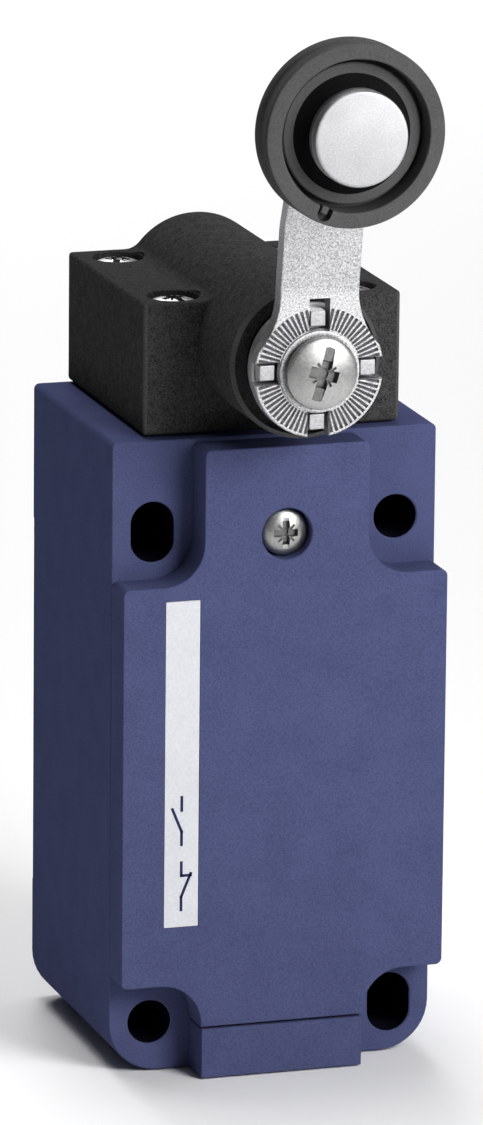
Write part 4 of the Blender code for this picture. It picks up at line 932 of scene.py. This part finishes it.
# The serrations: radial vees at even steps, left out beside the window and notches.
RIB_IN, RIB_OUT, RIB_COUNT, RIB_DEEP = 5.0 * MM, 7.5 * MM, 72, 0.34 * MM
RIB_SHARE, RIB_CLEAR = 0.66, 12
rib_wide = 2 * math.pi * 6.3 * MM / RIB_COUNT * RIB_SHARE
vees = bmesh.new()
for number in range(RIB_COUNT):
    angle = 360 * (number + 0.5) / RIB_COUNT
    if min(angle % 90, 90 - angle % 90) < RIB_CLEAR:
        continue
    before = set(vees.verts)
    bmesh.ops.create_cone(
        vees, cap_ends=True, cap_tris=False, segments=4, radius1=0.5, radius2=0.5, depth=1.0
    )
    fresh = [vert for vert in vees.verts if vert not in before]
    lying = Matrix.Rotation(math.pi / 2, 3, "Y")
    bmesh.ops.rotate(vees, verts=fresh, cent=(0, 0, 0), matrix=lying)
    bmesh.ops.scale(vees, verts=fresh, vec=(RIB_OUT - RIB_IN, RIB_DEEP * 2, rib_wide))
    for vert in fresh:
        vert.co.z *= 1.0 + 0.3 * vert.co.x / (RIB_OUT - RIB_IN)
    bmesh.ops.translate(vees, verts=fresh, vec=((RIB_IN + RIB_OUT) / 2, 0, 0))
    turn = Matrix.Rotation(math.radians(-angle), 3, "Y")
    bmesh.ops.rotate(vees, verts=fresh, cent=(0, 0, 0), matrix=turn)
    bmesh.ops.translate(vees, verts=fresh, vec=(0, lever_front, SHAFT_Z))
carve(plate, vees)

# A coined collar stands round the screw.
COLLAR_IN, COLLAR_ROOT = 3.7 * MM, 0.3 * MM
collar = [
    (COLLAR_IN, lever_front - 0.05 * MM),
    (4.45 * MM, lever_front - 0.28 * MM),
    (4.8 * MM, lever_front - 0.22 * MM),
    (RIB_IN, lever_front + COLLAR_ROOT),
    (COLLAR_IN, lever_front + COLLAR_ROOT),
]
carve(plate, spun(collar, "Y", (0, 0, SHAFT_Z), 96), "UNION")

# Each bend is (height over the shaft, how far forward the arm has come there).
CRANK = 5.5 * MM
BENDS = ((9.5 * MM, 0.0), (17.4 * MM, 1.3 * MM), (27.0 * MM, CRANK), (40.0 * MM, CRANK))
BEND_REACH = 0.7 * MM


def crank(height):
    """How far forward the arm has come at a height over the shaft, before rounding."""
    if height <= BENDS[0][0]:
        return 0.0
    for (low_z, low_y), (high_z, high_y) in zip(BENDS, BENDS[1:]):
        if height <= high_z:
            return low_y + (high_y - low_y) * (height - low_z) / (high_z - low_z)
    return BENDS[-1][1]


def soft_crank(height):
    """The crank averaged over a short stretch, so that each bend has a radius."""
    samples = 9
    offsets = [BEND_REACH * (2 * index / (samples - 1) - 1) for index in range(samples)]
    return sum(crank(height + offset) for offset in offsets) / samples


bent = bmesh.new()
bent.from_mesh(plate.data)
for bend_z, _ in BENDS[:3]:
    for index in range(9):
        cut_z = SHAFT_Z + bend_z + BEND_REACH * (index / 4 - 1)
        everything = bent.verts[:] + bent.edges[:] + bent.faces[:]
        bmesh.ops.bisect_plane(
            bent, geom=everything, dist=1e-8, plane_co=(0, 0, cut_z), plane_no=(0, 0, 1)
        )
for vert in bent.verts:
    vert.co.y -= soft_crank(vert.co.z - SHAFT_Z)
bent.to_mesh(plate.data)
bent.free()
ROLLER_Z, PIN_HOLE = SHAFT_Z + LENGTH, 2.65 * MM
arm_front = lever_front - CRANK
carve(plate, drill("Y", (0, 0, ROLLER_Z), PIN_HOLE, arm_front - MM, arm_front + PLATE + MM))


def is_sheared(spot, normal):
    """The plate's cut edges, and the flanks of its serrations, which stay dull."""
    from_axis = math.hypot(spot.x, spot.z - SHAFT_Z)
    serrated = RIB_IN - 0.05 * MM < from_axis < RIB_OUT + 0.1 * MM
    below_face = lever_front + 0.02 * MM < spot.y < lever_front + 0.5 * MM
    return abs(normal.y) < 0.35 or (serrated and below_face and abs(normal.y) < 0.9)


settle(
    plate,
    "lever_plate",
    "lever",
    lever_zinc,
    ["lever_arm"],
    trims=[(sheared_zinc, is_sheared)],
)

# ---------------------------------------------------------------- Hub
# A die-cast drive hub sits on the shaft behind the lever. Its four square lugs
# come through the window and the notches, and set the lever's angle.

hub_zinc = plated("hub_zinc", (0.43, 0.43, 0.44), 0.44, 0.35 * MM, 0.012 * MM, 0.18)
HUB_BORE, HUB_RADIUS, HUB_CHAMFER = 3.65 * MM, 7.4 * MM, 0.2 * MM
hub_face = lever_back + 0.3 * MM
hub_profile = [
    (HUB_BORE, hub_face),
    (HUB_RADIUS - HUB_CHAMFER, hub_face),
    (HUB_RADIUS, hub_face + HUB_CHAMFER),
    (HUB_RADIUS, hub_high.y - HUB_CHAMFER),
    (HUB_RADIUS - HUB_CHAMFER, hub_high.y),
    (HUB_BORE, hub_high.y),
]
hub = to_object("hub", spun(hub_profile, "Y", (0, 0, SHAFT_Z), 96))
LUG, LUG_CIRCLE = 0.92 * MM, 6.1 * MM
for across, rise in ((1, 0), (0, 1), (-1, 0), (0, -1)):
    x, z = across * LUG_CIRCLE, SHAFT_Z + rise * LUG_CIRCLE
    lug = brick((x - LUG, hub_low.y, z - LUG), (x + LUG, hub_face + MM, z + LUG), 0.14 * MM)
    carve(hub, lug, "UNION")
settle(hub, "drive_hub_casting", "lever", hub_zinc, ["drive_hub"])

# ---------------------------------------------------------------- Roller
# The roller is moulded in dark grey acetal, with a raised tyre round a sunk
# face, a slot beside the tyre, and a small gate mark in the tyre's edge.

roller_grey = moulded(
    "roller_grey", (0.060, 0.060, 0.060), (0.088, 0.088, 0.088), 0.48, 0.25 * MM, 0.010 * MM
)
roller_low, roller_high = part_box("roller")
TYRE = roller_high.x
front, back = roller_low.y, roller_high.y
wide = back - front
FACE_EDGE, FACE_DEEP, BOSS_BASE = 8.2 * MM, 1.8 * MM, 6.8 * MM
roller_profile = [
    (PIN_HOLE, back),
    (3.4 * MM, back),
    (4.6 * MM, back),
    (TYRE - 0.45 * MM, back),
    (TYRE - 0.13 * MM, back - 0.13 * MM),
    (TYRE, back - 0.45 * MM),
    (TYRE, back - wide * 0.22),
    (TYRE - 0.12 * MM, back - wide * 0.27),
    (TYRE - 0.45 * MM, back - wide * 0.32),
    (TYRE - 0.45 * MM, front + wide * 0.34),
    (TYRE - 0.1 * MM, front + wide * 0.28),
    (TYRE, front + wide * 0.24),
    (TYRE, front + 0.35 * MM),
    (TYRE - 0.1 * MM, front + 0.1 * MM),
    (TYRE - 0.35 * MM, front),
    (8.95 * MM, front),
    (8.85 * MM, front + 0.1 * MM),
    (8.8 * MM, front + 3.4 * MM),
    (FACE_EDGE, front + 3.4 * MM),
    (FACE_EDGE, front + FACE_DEEP + 0.15 * MM),
    (FACE_EDGE - 0.15 * MM, front + FACE_DEEP),
    (BOSS_BASE + 0.2 * MM, front + FACE_DEEP),
    (BOSS_BASE, front + FACE_DEEP - 0.15 * MM),
    (5.9 * MM, front + 0.5 * MM),
    (5.75 * MM, front + 0.35 * MM),
    (PIN_HOLE, front + 0.35 * MM),
]
roller = to_object("roller_body", spun(roller_profile, "Y", (0, 0, ROLLER_Z), 160))

# The gate mark is a notch with a round end, and the torn stub of the gate in it.
GATE_HALF, GATE_DEEP, GATE_ANGLE, STUB_HALF = 0.85 * MM, 1.3 * MM, 113, 0.42 * MM
gate = brick((8.3 * MM, front - MM, -GATE_HALF), (9.6 * MM, front + GATE_DEEP, GATE_HALF))
gate_end = drill("Y", (9.55 * MM, 0, 0), GATE_HALF, front, front + GATE_DEEP, 0, 32)
peg = brick(
    (8.7 * MM, front + 0.35 * MM, -STUB_HALF), (9.6 * MM, front + 1.6 * MM, STUB_HALF), 0.15 * MM
)
gate_turn = Matrix.Translation((0, 0, ROLLER_Z)) @ Matrix.Rotation(math.radians(GATE_ANGLE), 4, "Y")
for shape, operation in ((gate, "DIFFERENCE"), (gate_end, "DIFFERENCE"), (peg, "UNION")):
    bmesh.ops.transform(shape, verts=shape.verts, matrix=gate_turn)
    carve(roller, shape, operation)


def on_boss(spot, normal):
    """The tapered boss under the pin's head, which is coloured near black."""
    from_axis = math.hypot(spot.x, spot.z - ROLLER_Z)
    return from_axis < BOSS_BASE + 0.15 * MM and spot.y < front + FACE_DEEP - 0.02 * MM


# A near-black finish for the tapered boss under the pin's head.
boss_near_black = moulded(
    "boss_near_black", (0.005, 0.005, 0.005), (0.010, 0.010, 0.010), 0.5, 0.3 * MM, 0.006 * MM
)
settle(
    roller,
    "roller_moulding",
    "roller",
    roller_grey,
    ["roller"],
    trims=[(boss_near_black, on_boss)],
)

# ---------------------------------------------------------------- Roller pin
# A shouldered steel pin carries the roller. Its broad flat head is turned and
# plated, and its tail is riveted over behind the arm.

pin_zinc = plated("pin_zinc", (0.40, 0.40, 0.41), 0.50, 0.22 * MM, 0.010 * MM, 0.14)
pin_low, pin_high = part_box("roller_pin")
PIN_HEAD, PIN_RADIUS, PIN_HEAD_DEEP = pin_high.x, 2.5 * MM, 2.2 * MM
rivet_start = arm_front + PLATE + 0.15 * MM
pin_profile = [
    (0, pin_low.y),
    (PIN_HEAD - 0.4 * MM, pin_low.y),
    (PIN_HEAD - 0.12 * MM, pin_low.y + 0.12 * MM),
    (PIN_HEAD, pin_low.y + 0.4 * MM),
    (PIN_HEAD, pin_low.y + 1.0 * MM),
    (PIN_HEAD - 0.1 * MM, pin_low.y + 1.1 * MM),
    (PIN_HEAD, pin_low.y + 1.2 * MM),
    (PIN_HEAD, pin_low.y + PIN_HEAD_DEEP),
    (PIN_RADIUS, pin_low.y + PIN_HEAD_DEEP),
    (PIN_RADIUS, rivet_start),
    (3.3 * MM, rivet_start),
    (3.1 * MM, pin_high.y - 0.25 * MM),
    (2.3 * MM, pin_high.y),
    (0, pin_high.y - 0.15 * MM),
]
pin = to_object("pin", spun(pin_profile, "Y", (0, 0, ROLLER_Z), 128))
settle(pin, "roller_pin_turned", "lever", pin_zinc, ["roller_pin"])

# ---------------------------------------------------------------- Springs
# Two compression springs wound from round steel wire, one under the plunger's
# head and one under the contact carrier. Each foot stays on its seat.

spring_wire = plated("spring_wire", (0.46, 0.46, 0.47), 0.26, 0.4 * MM, 0.002 * MM, 0.10)


TURN_STEPS, WIRE_SIDES = 32, 10


def wound(name, gauge, turns):
    """The spring that fills the named node's box, with its upper end and its length."""
    low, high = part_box(name)
    radius = (high.x - low.x - gauge) / 2
    middle = (low + high) / 2
    shape = bmesh.new()
    steps = int(turns * TURN_STEPS)
    rings = []
    for step in range(steps + 1):
        angle = 2 * math.pi * step / TURN_STEPS
        away = Vector((math.cos(angle), math.sin(angle), 0))
        rise = low.z + gauge / 2 + (high.z - low.z - gauge) * step / steps
        centre = Vector((middle.x, middle.y, rise)) + away * radius
        ring = []
        for corner in range(WIRE_SIDES):
            around = 2 * math.pi * corner / WIRE_SIDES
            offset = away * math.cos(around) + Vector((0, 0, math.sin(around)))
            ring.append(shape.verts.new(centre + offset * gauge / 2))
        rings.append(ring)
    for first, second in zip(rings, rings[1:]):
        for corner in range(WIRE_SIDES):
            after = (corner + 1) % WIRE_SIDES
            shape.faces.new((first[corner], first[after], second[after], second[corner]))
    shape.faces.new(rings[0])
    shape.faces.new(rings[-1])
    bmesh.ops.recalc_face_normals(shape, faces=shape.faces)
    return to_object(name + "_coil", shape), (0, 0, high.z), high.z - low.z


for node, gauge, turns, body, joint in (
    ("plunger_spring", 0.9 * MM, 4.5, "plunger", "plunger_slide"),
    ("return_spring", 0.7 * MM, 3.5, "carrier", "carrier_slide"),
):
    piece, head_end, length = wound(node, gauge, turns)
    settle(piece, node + "_wound", body, spring_wire, [node])
    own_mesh(piece)

# ---------------------------------------------------------------- Inside pieces
# The switch element, the shaft line, the spacer and the seals keep their own shapes.
# Each takes the finish of what it is made of.

shaft_steel = plated("shaft_steel", (0.52, 0.52, 0.53), 0.24, 0.5 * MM, 0.002 * MM, 0.08)
bush_bronze = plated("bush_bronze", (0.55, 0.36, 0.17), 0.36, 0.2 * MM, 0.008 * MM, 0.16)
contact_brass = plated("contact_brass", (0.74, 0.58, 0.28), 0.28, 0.6 * MM, 0.003 * MM, 0.08)
seal_rubber = moulded(
    "seal_rubber", (0.016, 0.016, 0.016), (0.028, 0.028, 0.028), 0.75, 0.3 * MM, 0.006 * MM
)
block_cream = moulded(
    "block_cream", (0.62, 0.57, 0.46), (0.70, 0.66, 0.55), 0.48, 0.3 * MM, 0.006 * MM
)
block_grey = moulded(
    "block_grey", (0.14, 0.14, 0.15), (0.19, 0.19, 0.20), 0.5, 0.3 * MM, 0.006 * MM
)
finishes = {
    "housing_blue": housing_blue,
    "head_black": head_black,
    "roller_grey": roller_grey,
    "lever_zinc": lever_zinc,
    "screw_steel": screw_steel,
    "spring_steel": shaft_steel,
    "bronze": bush_bronze,
    "brass": contact_brass,
    "seal_rubber": seal_rubber,
    "label_white": label_white,
    "block_cream": block_cream,
    "block_grey": block_grey,
}
for entry in frame["record"]["subparts"]:
    node = frame["nodes"][entry["node"]]
    for holder in node.material_slots:
        holder.link = "OBJECT"
        holder.material = finishes[entry["material_slot"]]
